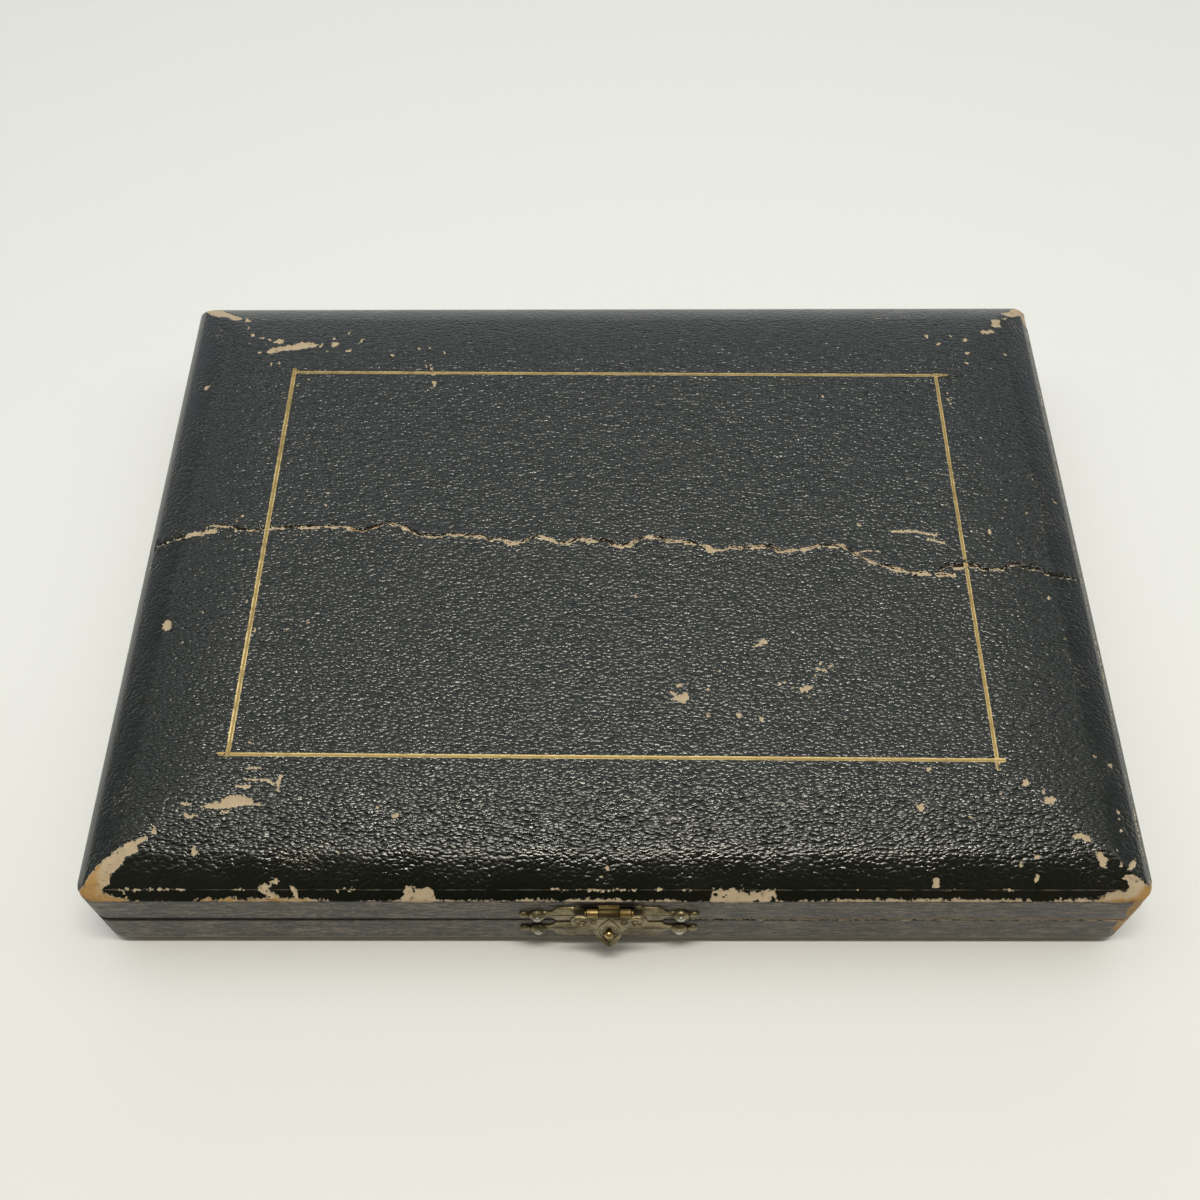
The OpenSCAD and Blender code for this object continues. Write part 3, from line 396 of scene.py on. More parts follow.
class Recipe(Nodes):
    """A material with one surface shader and the piece's own place to start from."""

    def __init__(self, name):
        self.material = bpy.data.materials.new(name)
        super().__init__(self.material)
        self.surface = self.tree.nodes.new("ShaderNodeBsdfPrincipled")
        out = self.tree.nodes.new("ShaderNodeOutputMaterial")
        self.tree.links.new(self.surface.outputs[0], out.inputs["Surface"])
        self.place = self.tree.nodes.new("ShaderNodeTexCoord").outputs["Object"]

    def stretched(self, scale, place=None):
        return self.add("ShaderNodeMapping", {"Vector": place or self.place, "Scale": scale})

    def cloud(self, scale, detail=3.0, rough=0.55, distortion=0.0):
        """Noise, of one scale or of one for each direction."""
        place = self.place
        if isinstance(scale, tuple):
            place = self.stretched(scale)
            scale = 1.0
        return self.add(
            "ShaderNodeTexNoise",
            {
                "Vector": place, "Scale": scale, "Detail": detail, "Roughness": rough,
                "Distortion": distortion,
            },
        )

    def cells(self, scale, place=None):
        return self.add(
            "ShaderNodeTexVoronoi", {"Vector": place or self.place, "Scale": scale},
            output="Distance", feature="F1",
        )

    def step(self, value, low, high, to_low=0.0, to_high=1.0):
        return self.add(
            "ShaderNodeMapRange",
            {0: value, 1: low, 2: high, 3: to_low, 4: to_high},
            interpolation_type="SMOOTHSTEP",
        )

    def mark(self, name):
        return self.add("ShaderNodeAttribute", {}, output="Fac", attribute_name=name)

    def relief(self, height, depth, strength=1.0, under=None):
        inputs = {"Height": height, "Distance": depth, "Strength": strength}
        if under is not None:
            inputs["Normal"] = under
        return self.add("ShaderNodeBump", inputs)

    def shade(self, **values):
        for key, value in values.items():
            self.put(self.surface.inputs[key.replace("_", " ")], value)
        return self.material


PEBBLE_SCALE = (700.0, 1080.0, 960.0)
PEBBLE_DEPTH = 0.00033
DEEP_BLACK = (0.003, 0.0025, 0.002)


def pebbles(r):
    """Squared distance from the middles of pebbles that lie 1 to 2 mm apart."""
    wander = r.add(
        "ShaderNodeTexNoise", {"Vector": r.place, "Scale": 400.0, "Detail": 1.0},
        output="Color")
    bent = r.vector("SCALE", {0: wander, 3: 0.0013})
    bent = r.vector("ADD", {0: r.place, 1: bent})
    pebble = r.cells(1.0, r.stretched(PEBBLE_SCALE, bent))
    return r.times(pebble, pebble)


def top_colour(r, pebble, rub):
    """Black, with the pebbles' tops worn a little grey where they aren't rubbed flat; the grey tops
    are partly painted glints.
    """
    black = r.blend(r.step(r.cloud(14.0), 0.35, 0.65),
                    (0.0050, 0.0068, 0.0036), (0.0075, 0.0084, 0.0048))
    # grey pebble tops: wear and partly painted glints
    tops = r.times(r.step(pebble, 0.10, 0.02), r.step(r.cloud(420.0), 0.42, 0.62))
    tops = r.times(tops, r.scaled(rub, -1.7, 1.0, clamp=True))
    return r.blend(tops, black, (0.040, 0.044, 0.039))


def side_colour(r, wrinkle):
    """Brown-grey and black along the wrinkles of the sides, with grit and dust; the pale brown-grey
    and its changes along the wrinkles are partly a painted reflection of the pale table.
    """
    # partly painted reflection: pale brown-grey and black streaks along the wrinkles
    colour = r.blend(r.step(wrinkle, 0.42, 0.58), DEEP_BLACK, (0.200, 0.157, 0.107))
    blotch = r.step(r.cloud((80.0, 400.0, 400.0), 4.0, 0.65), 0.42, 0.60, 0.0, 0.80)
    colour = r.blend(blotch, colour, (0.022, 0.020, 0.015))
    grit = r.cloud((520.0, 1500.0, 1500.0), 3.0, 0.7)
    colour = r.blend(r.step(grit, 0.47, 0.38, 0.0, 0.9), colour, (0.004, 0.0035, 0.003))
    colour = r.blend(r.step(grit, 0.56, 0.66, 0.0, 0.8), colour, (0.26, 0.215, 0.15))
    return r.blend(r.mark("dusty"), colour, (0.29, 0.26, 0.195))


def crease_highlight_and_flecks(r, black, rub):
    """A painted highlight along the crease above the front chamfer, and the shoulder's crease
    flecked.
    """
    place = r.apart(r.place)
    off_crease = r.plus(place["Y"], (HALF_D - CHAMFER) * MM)
    off_crease = r.scaled(r.cloud(260.0), 0.0005, r.sum("ABSOLUTE", off_crease))
    over_arris = r.step(place["Z"], 0.0345, 0.0347)
    # painted highlight: a thin pale line along the crease
    crease_highlight = r.times(r.step(off_crease, 0.00036, 0.00026), over_arris)
    black = r.blend(crease_highlight, black, (0.085, 0.076, 0.056))
    band = r.times(r.step(rub, 0.08, 0.3), r.step(rub, 0.7, 0.5))
    flecked = r.plus(r.cloud((900.0, 1500.0, 1500.0), 3.0, 0.7), r.times(r.cloud(36.0, 2.0), 0.5))
    flecked = r.times(r.step(flecked, 0.93, 0.98), band)
    return r.blend(flecked, black, (0.36, 0.30, 0.22))


def ground_colour(r, lip):
    """What shows in a bare place: the pale backing, and wood where it is worn deep."""
    deep = r.step(r.scaled(r.cloud(230.0, 2.0), 1.6, r.mark("raw")), 1.0, 1.5)
    backing = r.blend(r.cloud(500.0), (0.44, 0.33, 0.21), (0.60, 0.48, 0.32))
    streaks = r.cloud((60.0, 900.0, 900.0), 3.0, 0.6)
    wood = r.blend(streaks, (0.33, 0.17, 0.045), (0.56, 0.34, 0.12))
    ground = r.blend(deep, backing, wood)
    ground = r.blend(r.times(lip, 0.7), ground, (0.78, 0.66, 0.46))
    dirt = r.step(r.cloud(600.0, 3.0, 0.7), 0.58, 0.70, 0.0, 0.8)
    return r.blend(dirt, ground, (0.16, 0.105, 0.055))


def worn_leatherette(name):
    """Black pebble-grained cloth over wood, with places rubbed down to the backing."""
    r = Recipe(name)
    bare, split, rub, side, grime = (
        r.mark(mark) for mark in ("bare", "split", "rub", "side", "grime"))
    pebble = pebbles(r)
    wrinkle = r.cloud((190.0, 1250.0, 1250.0), 4.0, 0.70, 0.7)
    flat = r.sum("MAXIMUM", rub, side)
    grain = r.times(pebble, r.scaled(flat, 0.92, -1.0))
    grain = r.scaled(wrinkle, r.scaled(side, 1.9, 0.12), grain)
    # ragged borders of the bare places, smoother beside the split
    rag = r.scaled(r.cloud(1150.0, 4.0, 0.72), 2.3, -1.17)
    rag = r.times(rag, r.scaled(r.step(split, -1.5, -0.9), -0.72, 1.0))
    edge = r.plus(bare, rag)
    open_ = r.step(edge, -0.03, 0.04)
    closed = r.sum("SUBTRACT", 1.0, open_)
    lip = r.times(open_, r.step(edge, 0.2, 0.08))
    shade = r.times(r.step(edge, -0.3, -0.03), closed)
    # colours
    black = r.blend(side, top_colour(r, pebble, rub), side_colour(r, wrinkle))
    # painted shade and dirt round the clasp and in the seam
    black = r.blend(r.times(grime, 0.92), black, DEEP_BLACK)
    black = r.blend(r.times(shade, 0.6), black, (0.003, 0.0022, 0.0015))
    black = crease_highlight_and_flecks(r, black, rub)
    colour = r.blend(open_, black, ground_colour(r, lip))
    # painted shade: a dark red-brown core in the split's gap
    core = r.step(r.plus(rag, split), -0.02, 0.05)
    colour = r.blend(core, colour, (0.020, 0.007, 0.004))
    # gloss
    gloss = r.step(r.cloud(75.0, 4.0, 0.6), 0.3, 0.7, 0.13, 0.23)
    gloss = r.scaled(side, 0.26, gloss)
    gloss = r.scaled(grime, 0.55, gloss)
    rough = r.add("ShaderNodeMix", {0: open_, 2: gloss, 3: 0.8})
    bump = r.relief(r.times(grain, closed), PEBBLE_DEPTH)
    bump = r.relief(closed, 0.00022, 0.9, bump)
    return r.shade(Base_Color=colour, Roughness=rough, Normal=bump, Specular_IOR_Level=0.64)


def sawn_wood(name, scale):
    """Bare softwood, with its grain along the direction of the smallest scale."""
    r = Recipe(name)
    fibre = r.cloud(scale, 4.0, 0.6, 0.4)
    rings = r.cloud(tuple(s * 0.22 for s in scale), 2.0, 0.5, 0.9)
    colour = r.blend(r.step(rings, 0.35, 0.65), (0.50, 0.31, 0.15), (0.36, 0.20, 0.085))
    colour = r.blend(r.step(fibre, 0.52, 0.75, 0.0, 0.7), colour, (0.24, 0.13, 0.055))
    dirt = r.step(r.cloud(55.0, 4.0), 0.5, 0.8, 0.0, 0.5)
    colour = r.blend(dirt, colour, (0.12, 0.075, 0.04))
    return r.shade(
        Base_Color=colour, Roughness=r.step(fibre, 0.3, 0.7, 0.55, 0.75),
        Normal=r.relief(fibre, 0.0002, 0.6),
    )


def aged_brass(name, dark, light, high, polish, dark_spot=None):
    """Stamped brass gone brown in its hollows and bright on its rubbed parts."""
    r = Recipe(name)
    tarnish = r.step(r.cloud(160.0, 5.0, 0.65), 0.36, 0.66)
    spots = r.step(r.cloud(900.0, 4.0, 0.7), 0.56, 0.72)
    hollow = r.add("ShaderNodeAmbientOcclusion", {"Distance": 0.0012}, output="AO")
    colour = r.blend(tarnish, light, dark)
    colour = r.blend(r.times(spots, 0.6), colour, high)
    colour = r.blend(r.step(hollow, 0.25, 0.75, 0.75, 0.0), colour, (0.035, 0.022, 0.008))
    if dark_spot:
        # painted shade: black round one place, with dirt as well behind the knuckles
        middle, reach = dark_spot
        off = r.vector("SUBTRACT", {0: r.place, 1: middle})
        off = r.vector("MULTIPLY", {0: off, 1: reach})
        off = r.vector("LENGTH", {0: off}, "Value")
        off = r.scaled(r.cloud(700.0), 0.5, off)
        colour = r.blend(r.step(off, 1.35, 1.1), colour, (0.006, 0.005, 0.004))
    hair = r.cloud((300.0, 2600.0, 2600.0), 3.0, 0.6)
    rough = r.plus(r.step(tarnish, 0.0, 1.0, polish, polish + 0.2), r.times(hair, 0.12))
    bump = r.relief(r.cloud(1100.0, 4.0), 0.00008, 0.7)
    return r.shade(Base_Color=colour, Metallic=0.92, Roughness=rough,
                   Normal=r.relief(hair, 0.00002, 0.5, bump))


def rubbed_gilt(name):
    """Gold tooling: bright along both sides of the fillet, rubbed and dark between."""
    r = Recipe(name)
    side = r.step(r.mark("across"), 0.25, 0.85)
    patchy = r.cloud(220.0, 4.0, 0.65)
    gold = r.blend(r.cloud(1400.0, 3.0, 0.7), (0.19, 0.122, 0.038), (0.57, 0.41, 0.16))
    gold = r.blend(r.times(side, r.step(patchy, 0.36, 0.6)), gold, (0.84, 0.65, 0.32))
    lost = r.step(r.plus(r.cloud(900.0, 4.0, 0.75), r.mark("fade")), 0.60, 0.68)
    colour = r.blend(lost, gold, (0.020, 0.016, 0.010))
    return r.shade(
        Base_Color=colour, Metallic=r.sum("SUBTRACT", 0.55, r.times(lost, 0.55)),
        Roughness=r.step(patchy, 0.3, 0.7, 0.38, 0.55),
        Normal=r.relief(r.cloud(1600.0), 0.0001, 0.7),
    )


def cut_velvet(name):
    """Burgundy velvet with a brushed pile."""
    r = Recipe(name)
    pile = r.cloud((2600.0, 1700.0, 2600.0), 4.0, 0.65)
    brushed = r.step(r.cloud(34.0, 3.0, 0.6, 0.8), 0.38, 0.62)
    colour = r.blend(brushed, (0.080, 0.008, 0.022), (0.125, 0.016, 0.038))
    colour = r.blend(r.step(pile, 0.4, 0.7, 0.0, 0.6), colour, (0.20, 0.035, 0.065))
    dust = r.step(r.cloud(70.0, 5.0, 0.7), 0.60, 0.78, 0.0, 0.25)
    colour = r.blend(dust, colour, (0.22, 0.15, 0.14))
    return r.shade(
        Base_Color=colour, Roughness=r.step(pile, 0.3, 0.7, 0.82, 0.96), Sheen_Weight=0.75,
        Sheen_Roughness=0.4, Sheen_Tint=(0.72, 0.32, 0.42),
        Normal=r.relief(r.plus(pile, r.times(brushed, 0.4)), 0.0004, 0.8),
    )


def ivory_satin(name):
    """Aged ivory satin: long floats along X, with stains and a soft lustre."""
    r = Recipe(name)
    floats = r.cloud((900.0, 5200.0, 5200.0), 3.0, 0.6)
    age = r.step(r.cloud(13.0, 5.0, 0.65), 0.38, 0.70)
    colour = r.blend(age, (0.74, 0.645, 0.47), (0.60, 0.475, 0.295))
    colour = r.blend(r.step(floats, 0.45, 0.75, 0.0, 0.35), colour, (0.86, 0.79, 0.63))
    spots = r.step(r.cells(95.0), 0.10, 0.03, 0.0, 0.45)
    colour = r.blend(spots, colour, (0.36, 0.22, 0.10))
    pull = r.cloud((60.0, 520.0, 60.0), 3.0, 0.55, 0.5)
    bump = r.relief(pull, 0.0006, 0.35)
    return r.shade(
        Base_Color=colour, Roughness=r.step(floats, 0.3, 0.7, 0.34, 0.50), Sheen_Weight=0.35,
        Sheen_Roughness=0.35, Sheen_Tint=(1.0, 0.93, 0.78),
        Normal=r.relief(floats, 0.00009, 0.8, bump),
    )


def brown_paper(name):
    """Matt paper with fibres and darker stains."""
    r = Recipe(name)
    fibres = r.cloud((300.0, 1300.0, 800.0), 4.0, 0.7, 1.2)
    stain = r.step(r.cloud(19.0, 5.0, 0.6), 0.40, 0.66)
    colour = r.blend(stain, (0.185, 0.135, 0.088), (0.115, 0.082, 0.052))
    colour = r.blend(r.step(fibres, 0.5, 0.8, 0.0, 0.4), colour, (0.27, 0.21, 0.145))
    return r.shade(
        Base_Color=colour, Roughness=r.step(fibres, 0.3, 0.7, 0.84, 0.95),
        Normal=r.relief(fibres, 0.00015, 0.6),
    )


LEATHERETTE = worn_leatherette("worn_leatherette")
WOOD_ALONG = sawn_wood("softwood_lengthways", (45.0, 900.0, 900.0))
WOOD_ACROSS = sawn_wood("softwood_crossways", (900.0, 45.0, 900.0))
# dirt and painted shade behind the knuckles, and painted shade in the slot round the ball: its
# middle, and one over its half width and height
KNUCKLE_DIRT_AND_SHADE = ((CLASP_X * MM, -HALF_D * MM, 0.0300), (1 / 0.0078, 0.0, 1 / 0.0040))
BALL_SLOT_SHADE = ((CLASP_X * MM, -HALF_D * MM, 0.0172), (1 / 0.0024, 0.0, 1 / 0.0034))
PLATE_TONES = ((0.115, 0.094, 0.050), (0.28, 0.232, 0.128), (0.56, 0.49, 0.31), 0.30)
CLASP_BRASS = aged_brass("clasp_brass", *PLATE_TONES)
LID_PLATE_BRASS = aged_brass("lid_plate_brass", *PLATE_TONES, KNUCKLE_DIRT_AND_SHADE)
CATCH_PLATE_BRASS = aged_brass("catch_plate_brass", *PLATE_TONES, BALL_SLOT_SHADE)
KNUCKLE_BRASS = aged_brass("knuckle_brass", (0.058, 0.040, 0.014), (0.10, 0.072, 0.028),
                           (0.24, 0.175, 0.08), 0.40)
HINGE_BRASS = aged_brass("hinge_brass", (0.16, 0.105, 0.035), (0.36, 0.26, 0.105),
                         (0.56, 0.44, 0.22), 0.30)
BALL_BRASS = aged_brass("ball_brass", (0.30, 0.20, 0.07), (0.62, 0.47, 0.20),
                        (0.80, 0.66, 0.36), 0.18)
NAIL_METAL = aged_brass("nail_metal", (0.34, 0.32, 0.27), (0.62, 0.60, 0.53),
                        (0.80, 0.79, 0.74), 0.20)
GILT = rubbed_gilt("rubbed_gilt")
VELVET = cut_velvet("cut_velvet")
SATIN = ivory_satin("ivory_satin")
PAPER = brown_paper("brown_paper")


# ---- Case forms ----
def arc_height(run, rise, slope, at):
    """Height at a distance along an arc that starts at a slope and ends level or gentler."""
    end_slope = 2 * math.atan(rise / run) - slope
    radius = run / (math.sin(slope) - math.sin(end_slope))
    angle = math.asin(max(-1.0, min(1.0, math.sin(slope) - at / radius)))
    return radius * (math.cos(angle) - math.cos(slope))


def pillow(t):
    """Height of the lid's top at a distance t in from its side."""
    if t <= CHAMFER:
        return ARRIS + max(t, 0.0)
    if t <= SHOULDER_W:
        return ARRIS + CHAMFER + arc_height(
            SHOULDER_W - CHAMFER, SHOULDER_H, SHOULDER_SLOPE, t - CHAMFER)
    if t >= PILLOW_W:
        return TOP
    return ARRIS + CHAMFER + SHOULDER_H + arc_height(
        PILLOW_W - SHOULDER_W, PILLOW_H, PILLOW_SLOPE, t - SHOULDER_W)


def corner_r(y):
    """The case's upright corners are rubbed rounder in front than at the back."""
    return FRONT_CORNER_R if y < 0 else BACK_CORNER_R


def side_distance(x, y):
    """Distance in from the nearest side of the case, round its corners and eased mitres."""
    r = corner_r(y)
    dx = HALF_W - abs(x)
    dy = HALF_D - abs(y)
    if dx < r and dy < r:
        return r - math.hypot(r - dx, r - dy)
    ease = MITRE_EASE * min(1.0, max(0.0, (min(dx, dy) - r) / 20.0))
    gap = max(ease - abs(dx - dy), 0.0)
    return min(dx, dy) - (gap * gap / (4 * ease) if ease > 0 else 0.0)


def drawn_in(p, at, t):
    """A point of the outline lying at inside the case's sides, moved to lie t inside them."""
    full = corner_r(p[1])
    if t >= full:
        return (
            max(t - HALF_W, min(HALF_W - t, p[0])),
            max(t - HALF_D, min(HALF_D - t, p[1])),
        )
    cx = max(full - HALF_W, min(HALF_W - full, p[0]))
    cy = max(full - HALF_D, min(HALF_D - full, p[1]))
    way = Vector((p[0] - cx, p[1] - cy))
    if way.length > 1e-6:
        way.normalize()
    return p[0] - way.x * (t - at), p[1] - way.y * (t - at)


def ring_on(bm, edges, place):
    """Extrudes a closed ring of edges and puts each new point where place says."""
    made = bmesh.ops.extrude_edge_only(bm, edges=edges)["geom"]
    for v in made:
        if isinstance(v, bmesh.types.BMVert):
            v.co = place(v.co)
    return [e for e in made if isinstance(e, bmesh.types.BMEdge) and e.is_boundary]


def rings_on(bm, edges, at, rings):
    """Extrudes a ring again and again, to each distance in from the sides and each height."""
    for t, z in rings:
        edges = ring_on(bm, edges, lambda p, at=at, t=t, z=z: (*drawn_in(p, at, t), z))
        at = t
    return edges


def segment_distance(px, py, ax, ay, bx, by):
    """Distance of points to a straight stretch."""
    dx, dy = bx - ax, by - ay
    share = np.clip(((px - ax) * dx + (py - ay) * dy) / (dx * dx + dy * dy + 1e-12), 0, 1)
    return np.hypot(px - ax - share * dx, py - ay - share * dy)


def inside_by(points, polygon):
    """Signed distance of points to a polygon's border, positive inside."""
    px, py = points[:, 0], points[:, 1]
    best = np.full(len(points), FAR)
    inside = np.zeros(len(points), bool)
    for (ax, ay), (bx, by) in zip(polygon, polygon[1:] + polygon[:1]):
        best = np.minimum(best, segment_distance(px, py, ax, ay, bx, by))
        crosses = ((ay > py) != (by > py)) & (
            px < (bx - ax) * (py - ay) / (by - ay + 1e-12) + ax
        )
        inside ^= crosses
    return np.where(inside, best, -best)


def line_distance(points, line):
    """Distance of points to a row of stretches, and the share of its length there."""
    best = np.full(len(points), FAR)
    share = np.zeros(len(points))
    for k in range(len(line) - 1):
        d = segment_distance(points[:, 0], points[:, 1], *line[k], *line[k + 1])
        nearer = d < best
        best = np.where(nearer, d, best)
        share = np.where(nearer, k / (len(line) - 1), share)
    return best, share


def ripple(points, scale, seed):
    """Smooth noise from -1 to 1 at each point."""
    away = Vector((seed * 7.3, seed * 3.1, seed * 5.7))
    return np.array([noise.noise(Vector(p) * scale + away) for p in points])


def lid_marks(points):
    """How far inside a bare place, and inside the split's dark core, each point lies."""
    flat = points[:, :2]
    small = ripple(points, 0.9, 2)
    tiny = ripple(points, 2.4, 6)
    jagged = flat + np.column_stack((0.5 * small + 0.3 * tiny, 0.4 * small - 0.35 * tiny))
    ragged = flat + np.column_stack((0.3 * small + 0.2 * tiny, 0.2 * tiny - 0.3 * small))
    bare = np.full(len(points), UNMARKED)
    for patch in BARE_PATCHES:
        bare = np.maximum(bare, inside_by(ragged, patch))
    for line, half in SCRATCHES:
        d, _ = line_distance(ragged, line)
        bare = np.maximum(bare, half - d)
    for number, (x, y, radius) in enumerate(FLECKS):
        c, s = math.cos(number * 2.4), math.sin(number * 2.4)
        slim = 1.15 + 0.3 * (number % 4)
        dx, dy = jagged[:, 0] - x, jagged[:, 1] - y
        d = np.hypot(dx * c + dy * s, (dy * c - dx * s) * slim)
        bare = np.maximum(bare, 1.15 * radius - d)
    split = np.full(len(points), UNMARKED)
    wander = ripple(points, 0.33, 3)
    uneven = 1.0 + 1.1 * wander + 0.7 * small
    core = 0.24 + 0.3 * ripple(points, 0.2, 9)
    for line, widths in zip(SPLITS, SPLIT_WIDTHS):
        d, share = line_distance(jagged, line)
        half = np.interp(share, (0.0, 0.5, 1.0), widths) * np.clip(0.8 * uneven, 0.25, 2.0)
        bare = np.maximum(bare, half - d)
        d, share = line_distance(jagged - np.array((0.0, 0.3)) * (1.0 + wander)[:, None], line)
        split = np.maximum(split, core - d)
    bare -= 3.0 * np.maximum(ARRIS - points[:, 2], 0.0)
    return np.maximum(bare, arris_marks(points, ragged)), split


def arris_marks(points, ragged):
    """How far inside a rubbed place of the arris, the crease or an upright corner."""
    x, y, z = points.T
    rim = np.interp(x, *zip(*ARRIS_RUB))
    rim = np.where(rim < 1.6, 0.72 * rim, rim)
    rim = rim * (1 + 0.6 * ripple(points, 0.55, 5)) + 0.3 * ripple(points, 1.6, 8)
    above = np.where(z >= ARRIS, ragged[:, 1] + HALF_D, 0.0)
    below = np.where(z < ARRIS, ARRIS - z, 0.0)
    worn = np.where(y < 6.0 - HALF_D, rim - above - below * 2.6 - 0.15, UNMARKED)
    # black islands left in the wide patch beside the clasp
    islands = 0.75 - 1.9 * ripple(points, 0.55, 14)
    worn = np.where((rim > 1.8) & (x > 0) & (x < 120), np.minimum(worn, islands), worn)
    crease = np.abs(ragged[:, 1] + HALF_D - CHAMFER)
    uneven = 0.55 + 1.1 * ripple(points, 0.9, 27)
    for start, end, half in CREASE_RUB:
        past = np.maximum(np.maximum(start - x, x - end), 0.0)
        line = half * uneven - np.hypot(crease, past)
        worn = np.maximum(worn, np.where(z >= ARRIS, line, UNMARKED))
    # thin rubbed lines along the right-hand arris
    right = np.abs(HALF_W - 1.2 - x + 0.5 * ripple(points * 0.2, 1.0, 19))
    streaks = 0.02 + 0.3 * ripple(points * np.array((1.0, 0.12, 0.3)), 0.9, 12) - right
    worn = np.maximum(worn, np.where(z >= ARRIS, streaks, UNMARKED))
    for sx, sy, reach, foot in CORNER_RUB:
        away = np.hypot(x - sx * (HALF_W - 0.9), y - sy * (HALF_D - 0.9))
        drop = np.clip((z - foot) / 10.0, -1.0, 1.0)
        upright = reach * drop - away + 0.5 * ripple(points, 0.6, 23)
        worn = np.maximum(worn, np.where(z < ARRIS + 1, upright, UNMARKED))
    return worn


def rub_marks(points):
    """How smooth the grain is rubbed: most along the chamfer and the lid's edge."""
    d = np.array([side_distance(x, y) for x, y, _ in points])
    rub = np.interp(d, (0.0, 2.2, 3.2, 11.2, 12.6, 16.0), (1.0, 0.97, 0.74, 0.58, 0.12, 0.0))
    return np.clip(rub + 0.25 * ripple(points, 0.12, 21) * (rub > 0.02), 0.0, 1.0)


def lid_grime(points):
    """Dirt and painted deep shade round the clasp and in the seam."""
    x, y, z = points.T
    # painted shade, with dirt, above the knuckles
    aside = np.maximum(np.abs(x - CLASP_X) - 6.5, 0.0)
    up = np.abs(z - ARRIS + 2.0)
    clasp = np.clip(1.35 - np.hypot(aside / 3.0, up / 1.7), 0.0, 1.0)
    # painted shadow by the lid plate's upper edge
    plate = np.maximum(np.abs(x - CLASP_X) - 14.5, 0.0)
    rim = np.clip(1.5 - np.hypot(plate / 2.0, np.abs(z - 29.2) / 0.6), 0.0, 1.0)
    # painted shade and dirt in the seam under the lid
    seam = np.clip(1.1 - np.abs(z - LID_RIM) / np.interp(x, SEAM_X, LID_SEAM), 0.0, 1.0)
    return np.maximum(np.where(y < 1.0 - HALF_D, np.maximum(clasp, rim), 0.0), seam)


def lid_wood(points):
    """Where a bare place of the lid is rubbed past the backing, to the wood."""
    x, y, _ = points.T
    corner = np.hypot(np.abs(x) - HALF_W, y + HALF_D)
    raw = np.clip(1.5 - corner / np.where(x < 0, 9.0, 4.5), 0.0, 1.0)
    by_edge = np.clip(1.6 - (y + HALF_D) / 0.8, 0.0, 1.0)
    raw = np.maximum(raw, by_edge * np.interp(
        x, (-125, -112, -88, -80, 125, 140), (0.6, 0.75, 0.6, 0.12, 0.12, 0.8)))
    knock = np.clip(1.3 - np.abs(x + 76.0) / 5.0, 0.0, 0.8) * (np.abs(y - 7.0) < 4)
    return np.maximum(raw, knock)


def write_marks(piece, **marks):
    """Stores a number for each point of a piece's mesh."""
    for name, values in marks.items():
        layer = piece.data.attributes.new(name, "FLOAT", "POINT")
        layer.data.foreach_set("value", np.asarray(values, np.float32))


def points_of(bm):
    return np.array([v.co[:] for v in bm.verts])


def eased_grid(bm, cells_x, cells_y):
    """A flat sheet of cells over the case's outline, closer set towards its sides."""
    bmesh.ops.create_grid(bm, x_segments=cells_x, y_segments=cells_y, size=1.0)
    near = 0.45
    for v in bm.verts:
        place = []
        for share, half in ((v.co.x, HALF_W), (v.co.y, HALF_D)):
            t = 1.0 - abs(share)
            inset = half * (near * t + (1.0 - near) * t * t)
            place.append(math.copysign(half - inset, share))
        x, y = place
        r = corner_r(y)
        u = (abs(x) - HALF_W + r) / r
        w = (abs(y) - HALF_D + r) / r
        if u > 0 and w > 0:
            x = math.copysign(HALF_W - r + r * u * math.sqrt(1 - w * w / 2), x)
            y = math.copysign(HALF_D - r + r * w * math.sqrt(1 - u * u / 2), y)
        v.co = (x, y, 0.0)


def refine(bm, reach, cell):
    """Cuts cells longer than cell in two, wherever a bare place's border is within reach."""
    middles = np.array([f.calc_center_median()[:] for f in bm.faces])
    middles[:, 2] = TOP
    longest = np.array([max(e.calc_length() for e in f.edges) for f in bm.faces])
    chosen = (np.abs(lid_marks(middles)[0]) < reach) & (longest > cell)
    edges = {e for f, yes in zip(bm.faces, chosen) if yes for e in f.edges
             if e.calc_length() > cell * 0.6}
    bmesh.ops.subdivide_edges(bm, edges=list(edges), cuts=1, use_grid_fill=True)


def gilt_turned(x, y):
    """A place in the tooled rectangle's own lines, in the case's lines."""
    c, s = math.cos(GILT_TURN), math.sin(GILT_TURN)
    return x * c - y * s, x * s + y * c + GILT_SHIFT


def gilt_straight(x, y):
    """The reverse of gilt_turned."""
    c, s = math.cos(-GILT_TURN), math.sin(-GILT_TURN)
    y -= GILT_SHIFT
    return x * c - y * s, x * s + y * c


def press_groove(bm):
    """Cuts the tooled rectangle's two outlines into the top and sinks what lies between."""
    half = GILT_W / 2
    for along_x, reach in ((True, GILT_Y), (False, GILT_X)):
        normal = gilt_turned(0.0, 1.0) if along_x else gilt_turned(1.0, 0.0)
        for level in (half - reach, -reach - half, reach - half, reach + half):
            near = set()
            for f in bm.faces:
                c = f.calc_center_median()
                if c.z > TOP - 1.0 and abs(gilt_straight(c.x, c.y)[along_x] - level) < 3.0:
                    near.update((f, *f.edges, *f.verts))
            point = gilt_turned(0.0, level) if along_x else gilt_turned(level, 0.0)
            bmesh.ops.bisect_plane(
                bm, geom=list(near), dist=1e-4, plane_co=(*point, 0.0),
                plane_no=(normal[0], normal[1] - GILT_SHIFT, 0.0),
            )
    band = []
    for f in bm.faces:
        c = f.calc_center_median()
        x, y = gilt_straight(c.x, c.y)
        if c.z >= TOP - 1.0 and -half < max(abs(x) - GILT_X, abs(y) - GILT_Y) < half:
            band.append(f)
    made = bmesh.ops.extrude_face_region(bm, geom=band)["geom"]
    bmesh.ops.delete(bm, geom=band, context="FACES")
    sunk = [v for v in made if isinstance(v, bmesh.types.BMVert)]
    bmesh.ops.translate(bm, verts=sunk, vec=(0, 0, -GROOVE))


